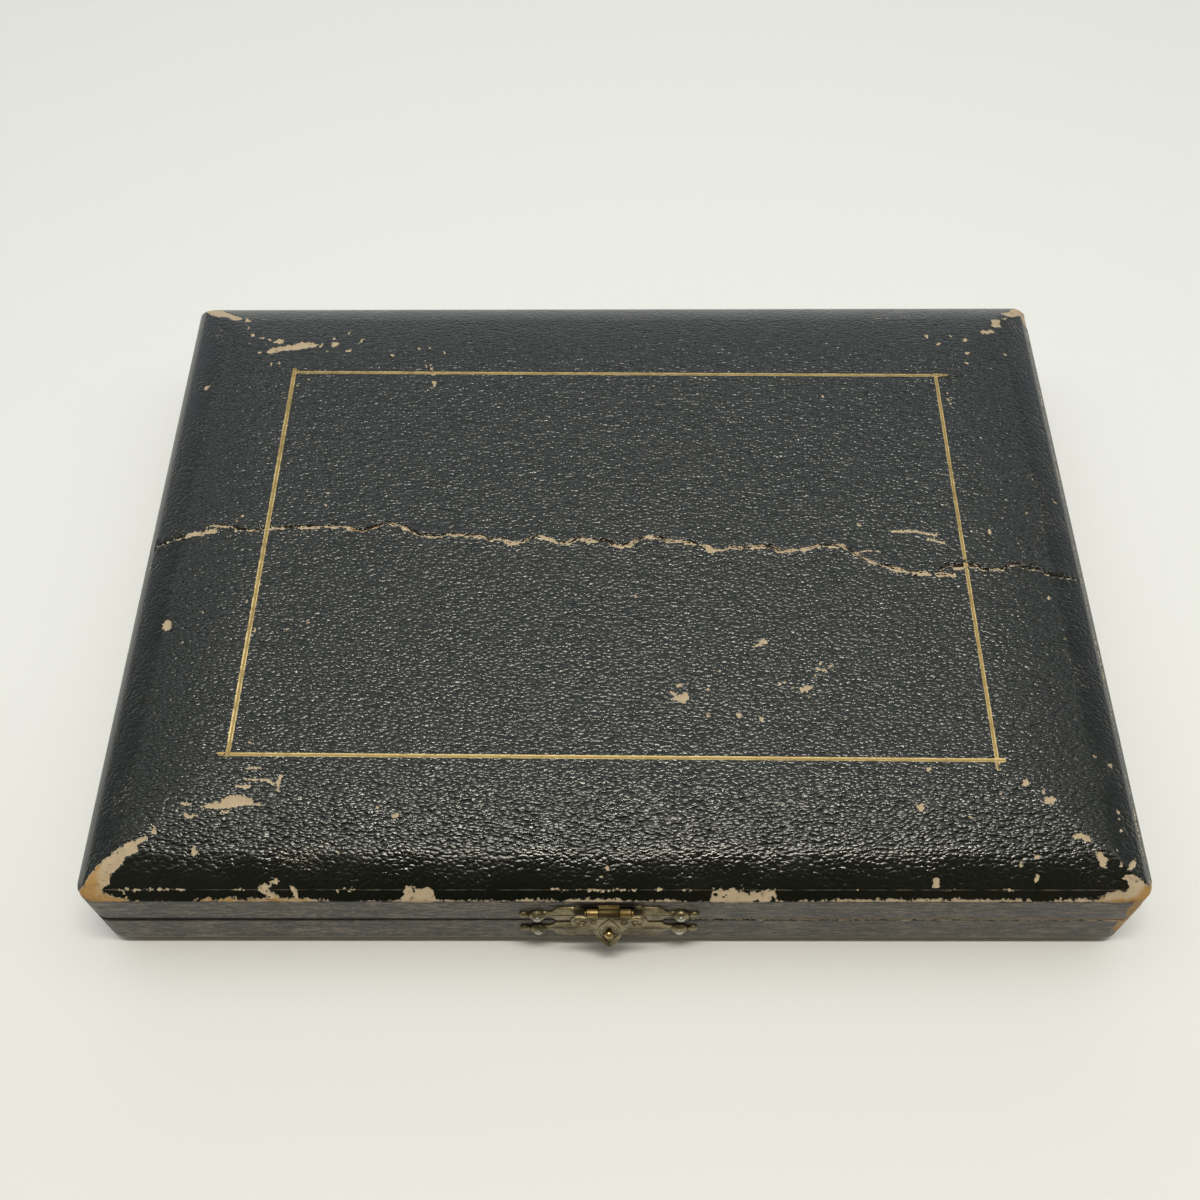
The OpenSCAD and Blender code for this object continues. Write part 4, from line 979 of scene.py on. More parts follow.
def sink_marks(bm, bare, split, lift):
    """Lowers the bare places, and curls the split's lips up beside a dark gap."""
    for v, b, s, wave in zip(bm.verts, bare, split, lift):
        if v.normal.z < 0.3 and v.co.z < ARRIS - 6:
            continue
        if v.normal.z < -0.1 or v.co.z > TOP - 0.1 and v.normal.z < 0.6:
            continue
        sink = BARE_SINK * min(1.0, max(0.0, b / 0.35))
        if s > -1.6:
            sink = SPLIT_SINK * min(1.0, max(0.0, (s + 0.12) / 0.25))
            lip = max(0.0, 1.0 - abs(s + 0.75) / 0.7)
            sink -= lip * (0.22 + 0.25 * wave)
        v.co -= v.normal * sink


def cut_back(bm, side):
    """Bevels the back edge along the hinge line: side is 1 for the lid, -1 for the base."""
    angle = math.radians(BACK_BEVEL)
    bmesh.ops.bisect_plane(
        bm, geom=[*bm.verts, *bm.edges, *bm.faces], dist=1e-4,
        plane_co=(0, HINGE_Y, HINGE_Z), plane_no=(0, math.sin(angle), -side * math.cos(angle)),
        clear_outer=True,
    )
    bmesh.ops.holes_fill(bm, edges=[e for e in bm.edges if e.is_boundary], sides=0)


def lid_skin():
    """The lid's covering: pillow top, chamfer, sides and the turned edge inside the rim."""
    bm = bmesh.new()
    eased_grid(bm, 150, 112)
    for reach, cell in ((1.9, 1.1), (0.95, 0.6), (0.42, 0.34)):
        refine(bm, reach, cell)
    for v in bm.verts:
        v.co.z = pillow(side_distance(v.co.x, v.co.y))
    press_groove(bm)
    rim = [e for e in bm.edges if e.is_boundary]
    for z in (32.1, 31.5, 30.6, 29.8, 29.2, 28.6, 27.4, 25.5, 23.0, 20.4, LID_RIM + 0.65):
        rim = ring_on(bm, rim, lambda p, z=z: (p.x, p.y, z))
    rim = rings_on(bm, rim, 0.0, [
        (0.08, LID_RIM + 0.35), (0.28, LID_RIM + 0.1), (0.6, LID_RIM), (INNER, LID_RIM),
        (INNER, ARRIS - SKIN), (CHAMFER + 0.3, ARRIS + CHAMFER - 1.1),
        (SHOULDER_W, pillow(SHOULDER_W) - 0.75), (20.0, pillow(20.0) - 0.75),
        (PILLOW_W, TOP - 0.75)])
    bmesh.ops.holes_fill(bm, edges=rim, sides=0)
    bmesh.ops.remove_doubles(bm, verts=bm.verts, dist=0.01)
    cut_back(bm, 1)
    bmesh.ops.recalc_face_normals(bm, faces=bm.faces)
    bm.normal_update()
    points = points_of(bm)
    bare, split = lid_marks(points)
    sink_marks(bm, bare, split, ripple(points, 0.4, 17))
    piece = finished("lid_leatherette", bm, "lid", [LEATHERETTE], ["lid_cover"], 50)
    height = points[:, 2]
    write_marks(
        piece, bare=bare, split=split, rub=rub_marks(points),
        side=np.clip((ARRIS - height) / 0.4, 0.0, 1.0), grime=lid_grime(points),
        raw=lid_wood(points),
        dusty=0.35 * np.clip(1.0 - np.abs(height - LID_RIM - 0.9) / 0.5, 0.0, 1.0))


def base_outline(bm):
    """The case's outline as a ring of edges with rounded corners."""
    bmesh.ops.create_grid(bm, x_segments=1, y_segments=1, size=1.0)
    bmesh.ops.scale(bm, vec=(HALF_W, HALF_D, 1.0), verts=bm.verts)
    for back in (False, True):
        corners = [v for v in bm.verts if abs(v.co.x) > HALF_W - 0.01 and (v.co.y > 0) == back]
        bmesh.ops.bevel(
            bm, geom=corners, offset=BACK_CORNER_R if back else FRONT_CORNER_R,
            affect="VERTICES", segments=14, profile=0.5, material=-1, clamp_overlap=True)
    bmesh.ops.delete(bm, geom=bm.faces[:], context="FACES_ONLY")
    long_edges = [e for e in bm.edges if e.calc_length() > 20]
    bmesh.ops.subdivide_edges(bm, edges=long_edges, cuts=360)
    return bm.edges[:]


def base_bare(points, away):
    """How far inside a bare place of the base's rim, foot or right-hand corner."""
    x, y, z = points.T
    # the rim is rubbed bare in front, more so to the right, and the foot in a few places
    rim = np.interp(x, (-145, -130, -30, 5, 40, 130, 145), (-0.9, -0.6, -0.3, 0.1, 0.45, 0.6, 1.1))
    rim = rim + 0.5 * ripple(points, 0.35, 31) + 0.2 * ripple(points, 1.5, 32)
    rim = rim - np.clip((y + 60.0) / 60.0, 0.0, 1.0)
    rim = np.where(z > BASE_RIM - 3, rim - 0.15 - (BASE_RIM - 0.25 - z) * 0.9, UNMARKED)
    foot = np.interp(x, (-145, -30, -22, -13, -10, 12, 16, 30, 34, 145),
                     (-0.3, -0.2, 0.7, 0.7, 0.1, 0.1, 0.6, 0.5, -0.1, -0.2))
    foot = foot + 0.45 * ripple(points, 0.6, 37) - np.abs(z - BASE_KNEE) - 0.1
    upright = 4.6 * np.clip((z - 3) / 9, -1, 1) - away + 0.7 * ripple(points, 0.6, 41)
    return np.maximum(np.maximum(rim, np.where(y < 0, foot, UNMARKED)), upright)


def base_skin():
    """The base's covering: bevelled foot, sides, rim and the turn-in underneath."""
    bm = bmesh.new()
    rim = base_outline(bm)
    for v in bm.verts:
        v.co = (*drawn_in(v.co, 0.0, BASE_BEVEL_W), BASE_FOOT)
    rings = [(1.5, BASE_FOOT + BASE_BEVEL_H / 2), (0.15, BASE_KNEE - 0.17),
             (0.0, BASE_KNEE + 0.15)]
    rings += [(0.0, z) for z in (4.6, 5.8, 8.0, 11.0, 13.5, 15.6, 16.7, BASE_RIM - 1.1)]
    rings += [(0.1, BASE_RIM - 0.6), (0.3, BASE_RIM - 0.25), (0.55, BASE_RIM - 0.06),
              (INNER, BASE_RIM), (INNER, BASE_KNEE + 0.3), (BASE_BEVEL_W + 0.6, BASE_FOOT + 0.75),
              (TURN_IN, BASE_FOOT + 0.75), (TURN_IN, BASE_FOOT)]
    rings_on(bm, rim, BASE_BEVEL_W, rings)
    bmesh.ops.remove_doubles(bm, verts=bm.verts, dist=0.01)
    bmesh.ops.bridge_loops(bm, edges=[e for e in bm.edges if e.is_boundary])
    cut_back(bm, -1)
    outward(bm)
    points = points_of(bm)
    x, y, z = points.T
    away = np.hypot(x - HALF_W + 0.9, y + HALF_D - 0.9)
    bare = base_bare(points, away)
    piece = finished("base_leatherette", bm, "base", [LEATHERETTE],
                     ["base_cover"], 50)
    none = np.zeros(len(points))
    # the rim's darkening by the seam is painted shade and dirt
    write_marks(
        piece, bare=bare, split=none + UNMARKED, rub=none, side=none + 1.0,
        grime=np.clip(1.5 - (BASE_RIM - z) / np.interp(x, SEAM_X, BASE_SEAM), 0.0, 1.0),
        raw=0.2 + 0.4 * (away < 6), dusty=0.8 * np.clip((BASE_KNEE + 0.8 - z) / 0.6, 0.0, 1.0))


def gilt_tooling():
    """Four pressed lines that run past each other at the corners."""
    bm = bmesh.new()
    marks = []
    # along X or Y, side, overshoot at the lower and the upper end
    for along_x, side, low, high in ((True, 1, 0.6, 9.0), (True, -1, 4.0, 2.4),
                                     (False, -1, 0.8, 1.6), (False, 1, 3.2, 0.9)):
        half_l = GILT_X if along_x else GILT_Y
        reach = GILT_Y if along_x else GILT_X
        start = len(bm.verts)
        cells = 260 if along_x else 180
        bmesh.ops.create_grid(bm, x_segments=cells, y_segments=6, size=1.0)
        bm.verts.ensure_lookup_table()
        for v in bm.verts[start:]:
            along, across = v.co.x, v.co.y
            a = -half_l - low + (along + 1) / 2 * (2 * half_l + low + high)
            past = max(-half_l - a, a - half_l, 0.0)
            taper = max(0.22, 1.0 - past / 9.5) if past > 1.0 else 1.0
            wobble = noise.noise(Vector((a * 0.9, side * 31.0 + along_x * 17.0, across)))
            b = side * reach + across * (GILT_W / 2 + 0.12) * taper * (1 + 0.22 * wobble)
            x, y = gilt_turned(a, b) if along_x else gilt_turned(b, a)
            ground = pillow(side_distance(x, y))
            sunk = -0.07 if past < 0.7 else 0.03
            lift = 0.05 * (abs(across) > 0.6) + (0.012 if along_x else 0.0)
            v.co = (x, y, ground + sunk + lift)
            patch = noise.noise(Vector((a * 0.05, side, 4.0))) > 0.3
            marks.append((abs(across), min(0.5, past / 18.0) + 0.05 * patch - 0.06))
    bmesh.ops.solidify(bm, geom=bm.faces[:], thickness=GILT_T)
    bmesh.ops.recalc_face_normals(bm, faces=bm.faces)
    piece = finished("gilt_tooling", bm, "lid", [GILT], ["gilt_line"])
    across, fade = zip(*marks, *marks)
    write_marks(piece, across=across, fade=fade)


# ---- Clasp ----
ON_FRONT = Matrix.Translation((CLASP_X, -HALF_D, BASE_RIM)) @ Matrix.Rotation(
    math.radians(90), 4, "X")
PIN_PLACE = ON_FRONT @ Matrix.Translation((0, PIN_UP, PIN_OUT))

# Right halves of the plates' outlines, round a nail's boss and an end's boss
PLATE_HALF = [
    (0, 11.3), (13.0, 11.3), (14.3, 10.9), (15.0, 9.7), (15.3, 8.3), (16.1, 7.1), (17.2, 6.7),
    (18.03, 6.62), (18.9, 7.13), (19.96, 7.22), (20.92, 6.77), (21.5, 6.1), (22.0, 5.85),
    (22.6, 6.35), (23.4, 6.45), (24.1, 6.0), (24.45, 5.2), (24.1, 4.4), (23.4, 3.95),
    (22.6, 4.05), (22.0, 4.55), (21.5, 4.3), (20.92, 3.63), (19.96, 3.18), (18.9, 3.27),
    (18.03, 3.78), (17.2, 3.7), (16.1, 3.3), (15.3, 2.4), (15.0, 1.6), (14.6, 0.95),
    (13.8, 0.7), (0, 0.7),
]
# The lid plate's arms are lower than its middle, which reaches up behind the knuckles
LID_PLATE_HALF = [(0, 11.3), (8.4, 11.3), (9.1, 10.9), (9.5, 10.2), (13.0, 10.1), (14.3, 9.7),
                  (15.0, 8.8), (15.3, 7.9), (16.1, 7.0)] + PLATE_HALF[6:]
# Turned profiles of the bosses: radius and height
BOSS = [(0.0, 0.2), (2.3, 0.2), (2.34, 0.6), (2.26, 0.95), (2.05, 1.3), (1.75, 1.55), (1.4, 1.68),
        (1.0, 1.7), (0.0, 1.7)]
END_BOSS = [(0.0, 0.2), (1.42, 0.2), (1.44, 0.5), (1.3, 0.8), (0.95, 1.02), (0.5, 1.12), (0.0, 1.15)]
HASP_HALF = [
    (0, -1.1), (5.9, -1.1), (7.6, -0.95), (8.8, -0.95), (9.7, -1.4), (10.25, -2.4),
    (10.4, -3.7), (10.15, -5.1), (9.5, -6.3), (8.5, -7.0), (7.4, -7.0), (6.5, -6.9), (5.6, -7.25),
    (4.8, -8.05), (4.3, -9.0), (4.1, -10.4), (3.85, -12.0), (3.35, -13.6), (2.6, -15.0),
    (1.75, -16.25), (0.85, -17.25), (0, -17.7),
]
SLOT = [(SLOT_R * math.cos(math.radians(k)), middle + SLOT_R * math.sin(math.radians(k)))
        for middle, first in ((-9.2, 0), (-12.1, 180)) for k in range(first, first + 181, 20)]
OVAL = [(0, -2.2), (0.85, -3.7), (1.75, -5.5), (2.5, -7.3), (2.9, -9.2), (2.85, -11.0),
        (2.5, -12.8), (1.5, -14.8), (0, -16.3)]
# Raised lines on a wing: one runs round it and curls in, one curls beside the middle
WING_LINE = [(1.3, -2.0), (4.0, -1.95), (7.6, -1.9), (8.7, -2.1), (9.3, -2.9), (9.35, -3.9),
             (9.0, -5.0), (8.2, -5.75), (7.1, -5.8), (6.3, -5.2), (6.2, -4.3), (6.8, -3.7),
             (7.6, -3.8), (7.9, -4.5)]
INNER_SCROLL = [(3.2, -5.6), (4.3, -5.5), (5.0, -4.8), (5.0, -3.8), (4.3, -3.2), (3.5, -3.4),
                (3.3, -4.1), (3.8, -4.6)]


def row(bm, points):
    """Points joined in a row by edges: both the points and the edges."""
    verts = [bm.verts.new(p) for p in points]
    return verts + [bm.edges.new(pair) for pair in zip(verts, verts[1:])]


def mirrored_outline(bm, half, height):
    """The right half of an outline and its mirror image over the middle line."""
    geom = row(bm, [(x, y, height) for x, y in half])
    bmesh.ops.mirror(bm, geom=geom, matrix=Matrix(), merge_dist=1e-4, axis="X")


def thickened(bm, faces, depth):
    """Extrudes faces outwards by depth and returns the new top faces."""
    made = bmesh.ops.extrude_face_region(bm, geom=faces)["geom"]
    bmesh.ops.translate(
        bm, verts=[v for v in made if isinstance(v, bmesh.types.BMVert)], vec=(0, 0, depth))
    return [f for f in made if isinstance(f, bmesh.types.BMFace)]


def stamped(bm, top, level, rim, fall, depth, rounding):
    """Gives a plate a raised border: rim wide, falling over fall to depth, rounded outside."""
    edges = [e for e in bm.edges if e.calc_face_angle(0.0) > 1.0
             and all(v.co.z > level for v in e.verts)]
    for width, sink in ((rim, 0.0), (fall, -depth)):
        bmesh.ops.inset_region(bm, faces=top, thickness=width, depth=sink,
                               use_even_offset=True, use_boundary=True)
    bevelled(bm, edges, rounding)


def in_finish(verts, number):
    """Gives the faces round some points the finish of that number."""
    for face in {f for v in verts for f in v.link_faces}:
        face.material_index = number


def bar_x(bm, radius, length, at=(0, 0, 0), rounding=0.1, finish=0):
    """A round bar along X with rounded ends."""
    new = bmesh.ops.create_cone(
        bm, cap_ends=True, segments=36, radius1=radius, radius2=radius, depth=length,
        matrix=Matrix.Translation(at) @ Matrix.Rotation(math.radians(90), 4, "Y"),
    )["verts"]
    in_finish(new, finish)
    ends = {e for v in new for e in v.link_edges if e.calc_face_angle(0.0) > 1.0}
    bevelled(bm, ends, rounding)


def bead(bm, line, radius, closed=True):
    """A thin raised bead along a line of points."""
    count = len(line)
    rings = []
    for k, p in enumerate(line):
        before = Vector(line[k - 1] if closed or k else p)
        after = Vector(line[(k + 1) % count] if closed or k < count - 1 else p)
        way = (after - before).normalized()
        side = way.cross(Vector((0, 0, 1))).normalized()
        up = side.cross(way)
        ring = bmesh.ops.create_circle(bm, cap_ends=False, segments=8, radius=radius)["verts"]
        for v in ring:
            v.co = Vector(p) + side * v.co.x + up * v.co.y
        rings.append(list({e for v in ring for e in v.link_edges}))
    for a, b in zip(rings, rings[1:] + (rings[:1] if closed else [])):
        bmesh.ops.bridge_loops(bm, edges=a + b)
    if not closed:
        bmesh.ops.holes_fill(bm, edges=rings[0] + rings[-1], sides=0)


def spun(bm, profile, steps=40):
    """A turned shape from (radius, height) points round Z."""
    start = set(bm.verts)
    bmesh.ops.spin(
        bm, geom=row(bm, [(r, 0, z) for r, z in profile]), axis=(0, 0, 1), cent=(0, 0, 0),
        angle=math.tau, steps=steps, use_merge=True, use_duplicate=False,
    )
    return [v for v in bm.verts if v not in start]


def clasp_piece(name, bm, place, finishes, stands_for, body, sharp=38.0):
    bmesh.ops.transform(bm, matrix=place, verts=bm.verts)
    outward(bm)
    finished(name, bm, body, finishes, [stands_for], sharp)


def stamped_plate(bm, half, high):
    """A clasp plate with a raised border, bosses and a beaded inner panel of that height."""
    mirrored_outline(bm, half, 0.0)
    face = bmesh.ops.contextual_create(bm, geom=bm.edges[:])["faces"]
    stamped(bm, thickened(bm, face, PLATE_T), PLATE_T / 2, 0.42, 0.22, 0.16, 0.14)
    # a domed boss round each nail and a smaller one at each arm's end
    for sx in (-1, 1):
        for profile, at in ((BOSS, NAIL_X), (END_BOSS, NAIL_X + 3.75)):
            dome = spun(bm, profile)
            bmesh.ops.translate(bm, verts=dome, vec=(sx * at, ARM_UP, 0))
    panel = [(-13.4, 5.2), (-12.2, high - 1.0), (-11.0, high), (11.0, high),
             (12.2, high - 1.0), (13.4, 5.2), (12.2, 2.7), (11.0, 2.2), (-11.0, 2.2),
             (-12.2, 2.7)]
    bead(bm, [(x, y, PLATE_T - 0.1) for x, y in panel], 0.2)


def lid_plate():
    bm = bmesh.new()
    stamped_plate(bm, LID_PLATE_HALF, 8.5)
    # the rolled centre knuckle and the web that joins it to the plate
    bar_x(bm, 1.4, KNUCKLE_W, (0, PIN_UP, PIN_OUT), finish=1)
    web = bmesh.ops.create_cube(bm, size=1.0)["verts"]
    in_finish(web, 1)
    bmesh.ops.scale(bm, vec=(KNUCKLE_W, 1.15, PIN_OUT), verts=web)
    bmesh.ops.translate(bm, verts=web, vec=(0, PIN_UP + 0.6, PIN_OUT / 2))
    clasp_piece("stamped_lid_plate", bm, ON_FRONT, [LID_PLATE_BRASS, KNUCKLE_BRASS],
                "lid_plate", "lid")


def catch_plate():
    bm = bmesh.new()
    stamped_plate(bm, PLATE_HALF, 9.6)
    bmesh.ops.scale(bm, vec=(1, -1, 1), verts=bm.verts)
    clasp_piece("stamped_catch_plate", bm, ON_FRONT, [CATCH_PLATE_BRASS], "catch_plate", "base")


def nails(name, side, body, node):
    """Two domed nail heads with their shanks, slightly unlike each other."""
    bm = bmesh.new()
    seat = BOSS[-1][1] - 0.04
    for sx, rise, lean in ((-1, 0.80, 3.0), (1, 0.74, -4.0)):
        one = bmesh.new()
        head = [(0.0, -4.0), (0.5, -3.9), (0.5, 0.0), (1.12, 0.0), (NAIL_R, 0.07)]
        head += [(NAIL_R * math.cos(a), 0.07 + (rise - 0.07) * math.sin(a))
                 for a in (0.25, 0.5, 0.75, 1.0, 1.25, 1.45)]
        spun(one, head + [(0.0, rise)])
        bmesh.ops.transform(
            one, verts=one.verts,
            matrix=Matrix.Translation((sx * NAIL_X, side * ARM_UP, seat))
            @ Matrix.Rotation(math.radians(lean), 4, "X"),
        )
        take_in(bm, one)
    clasp_piece(name, bm, ON_FRONT, [NAIL_METAL], node, body)


def ball_stud():
    bm = bmesh.new()
    profile = [(0.0, -4.5), (0.58, -4.4), (0.58, PLATE_T), (1.18, PLATE_T), (1.2, PLATE_T + 0.1),
               (1.2, PLATE_T + 0.3), (1.1, PLATE_T + 0.4), (0.6, PLATE_T + 0.42)]
    start = math.asin(-math.sqrt(1 - (0.6 / BALL_R) ** 2))
    for k in range(13):
        a = start + (math.pi / 2 - start) * k / 12
        profile.append((BALL_R * math.cos(a) if k < 12 else 0.0, BALL_OUT + BALL_R * math.sin(a)))
    spun(bm, profile)
    bmesh.ops.translate(bm, verts=bm.verts, vec=(0, -BALL_DOWN, 0))
    clasp_piece("ball_stud", bm, ON_FRONT, [BALL_BRASS], "catch_stud", "base")


def hasp_blank(bm):
    """The hasp's flat outline with its slot, cut across where its tip will bend."""
    mirrored_outline(bm, HASP_HALF, HASP_BACK)
    hole = [bm.verts.new((x, y, HASP_BACK)) for x, y in SLOT]
    for pair in zip(hole, hole[1:] + hole[:1]):
        bm.edges.new(pair)
    bmesh.ops.triangle_fill(bm, edges=bm.edges[:], use_beauty=True, normal=(0, 0, 1))
    bmesh.ops.recalc_face_normals(bm, faces=bm.faces)
    if sum(f.normal.z for f in bm.faces) < 0:
        bmesh.ops.reverse_faces(bm, faces=bm.faces)
    for y in (TIP_Y, -15.2, -16.4):
        bmesh.ops.bisect_plane(
            bm, geom=[*bm.verts, *bm.edges, *bm.faces], dist=1e-4, plane_co=(0, y, 0),
            plane_no=(0, 1, 0))


def hasp():
    """The swinging hasp: rimmed wings with scrolls, a slot for the ball and a curled tip."""
    bm = bmesh.new()
    hasp_blank(bm)
    top = thickened(bm, bm.faces[:], HASP_FRONT - HASP_BACK)
    stamped(bm, top, HASP_FRONT - 0.1, 0.38, 0.2, 0.17, 0.13)
    for sx in (-1, 1):
        bar_x(bm, 1.27, 3.0, (sx * 4.45, 0, 0), finish=1)
    oval = OVAL + [(-x, y) for x, y in reversed(OVAL[1:-1])]
    bead(bm, [(x, y, HASP_FRONT - 0.1) for x, y in oval], 0.24)
    for line, thick in ((WING_LINE, 0.2), (INNER_SCROLL, 0.17)):
        for sx in (-1, 1):
            bead(bm, [(sx * x, y, HASP_FRONT - 0.08) for x, y in line], thick, closed=False)
    # the tip curls away from the case
    for v in bm.verts:
        below = TIP_Y - v.co.y
        if below > 0:
            share = min(1.0, below / 1.2)
            v.co.z += below * math.tan(TIP_CURL) * (0.5 + 0.5 * share)
            v.co.y = TIP_Y - below * (0.96 + 0.04 * (1 - share))
    place = PIN_PLACE @ Matrix.Rotation(-HASP_TILT, 4, "X")
    clasp_piece("stamped_hasp", bm, place, [CLASP_BRASS, HINGE_BRASS], "hasp", "hasp", 34)


def clasp_pin():
    bm = bmesh.new()
    bar_x(bm, 0.49, 12.2)
    for sx in (-1, 1):
        bar_x(bm, 0.74, 0.5, (sx * 6.35, 0, 0), 0.16)
    clasp_piece("clasp_pin", bm, PIN_PLACE, [HINGE_BRASS], "hasp_pin", "lid")


# ---- Linings ----
CLOTH_FRAMES = 20
FARTHEST_BLOWN = 0.0035


def pad_sheet(bm, half_x, half_y, height):
    """A sheet of cells whose height is worked out at each place."""
    bmesh.ops.create_grid(bm, x_segments=60, y_segments=44, size=1.0)
    for v in bm.verts:
        x, y = v.co.x * half_x, v.co.y * half_y
        v.co = (x, y, height(x, y))


def satin_pad():
    """Satin drawn over wadding, blown up as cloth from a slightly smaller form."""
    low, high = box_mm("lid_pad")
    edge = 2.6
    half_x, half_y = high.x - 0.4, high.y - 0.4
    full = high.z - low.z - edge

    def swell(x, y):
        """The lower face follows the CAD pad's swell, kept a little shallower."""
        t = min(half_x - abs(x), half_y - abs(y))
        s = min(1.0, t / 30.0)
        return high.z - edge * 0.9 - (full * 0.62) * math.sin(s * math.pi / 2) ** 1.2

    bm = bmesh.new()
    pad_sheet(bm, half_x, half_y, lambda x, y: high.z)
    rim = [e for e in bm.edges if e.is_boundary]
    for drop in (0.45, 0.9):
        rim = ring_on(bm, rim, lambda p, drop=drop: (p.x, p.y, high.z - edge * drop))
    under = bmesh.new()
    pad_sheet(under, half_x, half_y, swell)
    take_in(bm, under)
    bmesh.ops.remove_doubles(bm, verts=bm.verts, dist=0.05)
    bmesh.ops.recalc_face_normals(bm, faces=bm.faces)
    piece = finished("satin_pad", bm, "lid", [SATIN], ["lid_pad"], 180)
    blow_up(piece, low.z * MM, high.z * MM)
    subdivision = piece.modifiers.new("smooth", "SUBSURF")
    subdivision.levels = subdivision.render_levels = 1


def blow_up(piece, low_z, high_z):
    """Runs a short cloth simulation with air inside and keeps its shape within the case."""
    rest = np.array([v.co[:] for v in piece.data.vertices])
    held = piece.vertex_groups.new(name="held")
    held.add([i for i, p in enumerate(rest) if p[2] > high_z - 0.0013], 1.0, "REPLACE")
    cloth = piece.modifiers.new("wadding", "CLOTH")
    s = cloth.settings
    s.quality = 6
    s.mass = 0.15
    s.tension_stiffness = s.compression_stiffness = 12
    s.bending_stiffness = 0.4
    s.vertex_group_mass = "held"
    s.use_pressure = True
    s.uniform_pressure_force = 4.0
    s.effector_weights.gravity = 0.0
    s.shrink_min = -0.035
    cloth.collision_settings.use_collision = False
    cloth.point_cache.frame_start, cloth.point_cache.frame_end = 1, CLOTH_FRAMES
    scene = bpy.context.scene
    for number in range(1, CLOTH_FRAMES + 1):
        scene.frame_set(number)
    ready = piece.evaluated_get(bpy.context.evaluated_depsgraph_get())
    blown = np.array([v.co[:] for v in ready.data.vertices])
    piece.modifiers.remove(cloth)
    scene.frame_set(1)
    move = blown - rest
    far = np.linalg.norm(move, axis=1, keepdims=True)
    move *= np.minimum(1.0, FARTHEST_BLOWN / np.maximum(far, 1e-9))
    placed = rest + move
    placed[:, 2] = np.clip(placed[:, 2], low_z + 0.0001, high_z)
    reach = np.abs(rest[:, :2]).max(axis=0)
    placed[:, :2] = np.clip(placed[:, :2], -reach, reach)
    piece.data.vertices.foreach_set("co", placed.astype(np.float32).ravel())
    piece.data.update()


def linings():
    for node in ("base_front_liner", "base_back_liner", "base_left_liner", "base_right_liner",
                 "handle_rack", "blade_rack", "tray_floor"):
        softened(node, "velvet_" + node, VELVET, "base", 0.45, 3)
    for node in ("lid_front_liner", "lid_back_liner", "lid_left_liner", "lid_right_liner"):
        softened(node, "satin_" + node, SATIN, "lid", 0.4, 3)


def hinges():
    for node in ("left_hinge_base_leaf", "right_hinge_base_leaf", "left_hinge_pin",
                 "right_hinge_pin", "base_hinge_screws"):
        softened(node, "brass_" + node, HINGE_BRASS, "base", 0.12)
    for node in ("left_hinge_lid_leaf", "right_hinge_lid_leaf", "lid_hinge_screws"):
        softened(node, "brass_" + node, HINGE_BRASS, "lid", 0.12)


def woodwork():
    """Gives the plain CAD boards, rails and paper their finishes."""
    for name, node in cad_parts.items():
        if name in ("base_board", "lid_board") or name.endswith(("front_rail", "back_rail")):
            finish = WOOD_ALONG
        elif name.endswith("_rail"):
            finish = WOOD_ACROSS
        elif name == "base_paper":
            finish = PAPER
        else:
            continue
        node.data.materials.clear()
        node.data.materials.append(finish)


lid_skin()
base_skin()
gilt_tooling()
lid_plate()
catch_plate()
nails("lid_nails", 1, "lid", "lid_plate_nails")
nails("catch_nails", -1, "base", "catch_plate_nails")
ball_stud()
hasp()
clasp_pin()
satin_pad()
linings()
hinges()
woodwork()


# ---- Camera, table and light ----
PHOTO_WIDTH = 1200
PIXELS_OF_FOCUS = 1367.7
EYE_PLACE = (-1.55, -238.4, 384.51)
EYE_PITCH = math.radians(57.375)
EYE_YAW = math.radians(0.61)
EYE_ROLL = math.radians(-0.554)
# Colours of the room's light at the horizon behind the case and before it
BEHIND = (1.10, 1.22, 1.36)
BEFORE = (0.05, 0.039, 0.028)
# Between them, over the ceiling: share of the way, level and tint
CEILING = (
    (0.16, 1.0, (1, 1.08, 1.16)), (0.22, 0.30, (1, 1.10, 1.08)), (0.28, 0.30, (1, 1.10, 1.08)),
    (0.36, 0.80, (1, 1.07, 1.05)), (0.42, 1.1, (1, 1.04, 1.0)), (0.50, 1.1, (1, 1.0, 0.94)),
    (0.53, 0.8, (1, 0.97, 0.88)), (0.56, 0.06, (1, 0.92, 0.78)), (0.75, 0.035, (1, 0.88, 0.7)),
)


def camera():
    """The photograph's view: from in front and well above, with a slight roll."""
    data = bpy.data.cameras.new("camera")
    eye = in_scene("camera", data)
    data.sensor_width = 36.0
    data.lens = PIXELS_OF_FOCUS / PHOTO_WIDTH * data.sensor_width
    ahead = Vector((0, math.cos(EYE_PITCH), -math.sin(EYE_PITCH)))
    right = Vector((1, 0, 0))
    turn = Matrix.Rotation(EYE_YAW, 3, "Z")
    ahead, right = turn @ ahead, turn @ right
    up = right.cross(ahead)
    right, up = (math.cos(EYE_ROLL) * right + math.sin(EYE_ROLL) * up,
                 math.cos(EYE_ROLL) * up - math.sin(EYE_ROLL) * right)
    eye.matrix_world = Matrix.Translation(Vector(EYE_PLACE) * MM) @ Matrix(
        (right, up, -ahead)).transposed().to_4x4()
    data.clip_start, data.clip_end = 0.01, 20.0
    bpy.context.scene.camera = eye


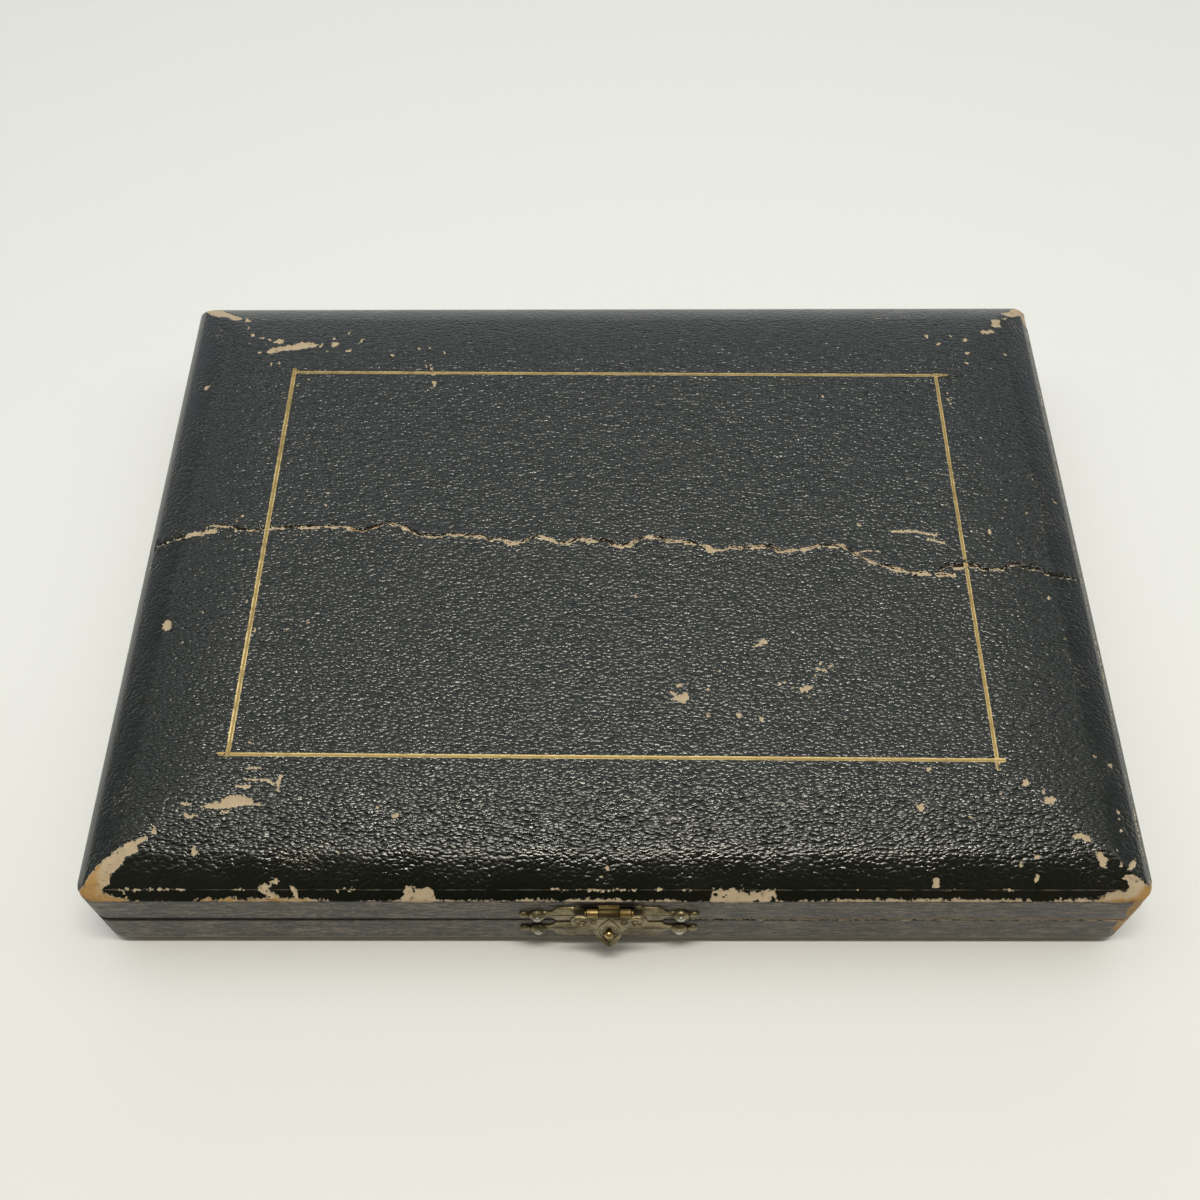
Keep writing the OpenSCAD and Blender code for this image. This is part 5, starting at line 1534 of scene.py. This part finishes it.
def table():
    """A pale matt table top, a little paler beside and behind the case."""
    r = Recipe("pale_table")
    mottle = r.cloud(7.0, 4.0)
    colour = r.blend(mottle, (0.880, 0.884, 0.894), (0.910, 0.914, 0.922))
    far = r.step(r.apart(r.place)["Y"], -0.20, 0.05)
    colour = r.blend(far, colour, (0.942, 0.950, 0.966))
    r.shade(Base_Color=colour, Roughness=r.step(mottle, 0.3, 0.7, 0.62, 0.72),
            Normal=r.relief(r.cloud(900.0), 0.00002, 0.3), Specular_IOR_Level=0.2)
    bm = bmesh.new()
    bmesh.ops.create_grid(bm, x_segments=8, y_segments=8, size=4.0)
    mesh = bpy.data.meshes.new("table_top")
    bm.to_mesh(mesh)
    bm.free()
    mesh.materials.append(r.material)
    in_scene("table_top", mesh)


def ceiling_light():
    """A long soft lamp over the front of the case."""
    data = bpy.data.lights.new("ceiling_light", "AREA")
    data.shape = "RECTANGLE"
    data.size, data.size_y = 0.6, 0.09
    data.energy = 6.6
    data.color = (1.0, 0.95, 0.81)
    way = Vector((0, 0, -1.2))
    in_scene("ceiling_light", data).matrix_world = Matrix.Translation(
        (0.04, -0.15, 1.2)) @ way.to_track_quat("-Z", "Y").to_matrix().to_4x4()


def room():
    """A room lit from a long ceiling light, paler behind the case and dark before it."""
    world = bpy.data.worlds.new("room")
    bpy.context.scene.world = world
    n = Nodes(world)
    way = n.apart(n.add("ShaderNodeTexCoord", {}, "Generated"))
    # from the horizon behind the case, over the ceiling, to the horizon before it
    share = n.sum("DIVIDE", n.sum("ARCTAN2", way["Z"], way["Y"]), math.pi)
    over = n.add("ShaderNodeValToRGB", {0: share})
    stops = over.node.color_ramp.elements
    stops[0].position, stops[0].color = 0.0, (*BEHIND, 1.0)
    stops[1].position, stops[1].color = 1.0, (*BEFORE, 1.0)
    for at, level, tint in CEILING:
        stops.new(at).color = (*(level * c for c in tint), 1.0)
    # the room is brighter at the left and right corners before the case
    aside = n.times(way["X"], way["X"])
    corner = n.times(aside, n.times(way["Y"], -1.2, clamp=True))
    light = n.blend(corner, over, (0.94, 0.86, 0.71))
    level = n.scaled(n.times(way["Z"], way["Z"]), 0.85, 0.60)
    glow = n.add("ShaderNodeBackground", {
        "Color": light, "Strength": n.scaled(aside, -0.36, level)})
    # past the table the camera itself sees only a pale wall
    wall = n.add("ShaderNodeBackground", {"Color": (0.66, 0.68, 0.65)})
    by_camera = n.add("ShaderNodeLightPath", {}, "Is Camera Ray")
    seen = n.add("ShaderNodeMixShader", {0: by_camera, 1: glow, 2: wall})
    n.put(n.tree.nodes.new("ShaderNodeOutputWorld").inputs["Surface"], seen)


camera()
table()
room()
ceiling_light()
bpy.context.scene.view_settings.view_transform = "Standard"
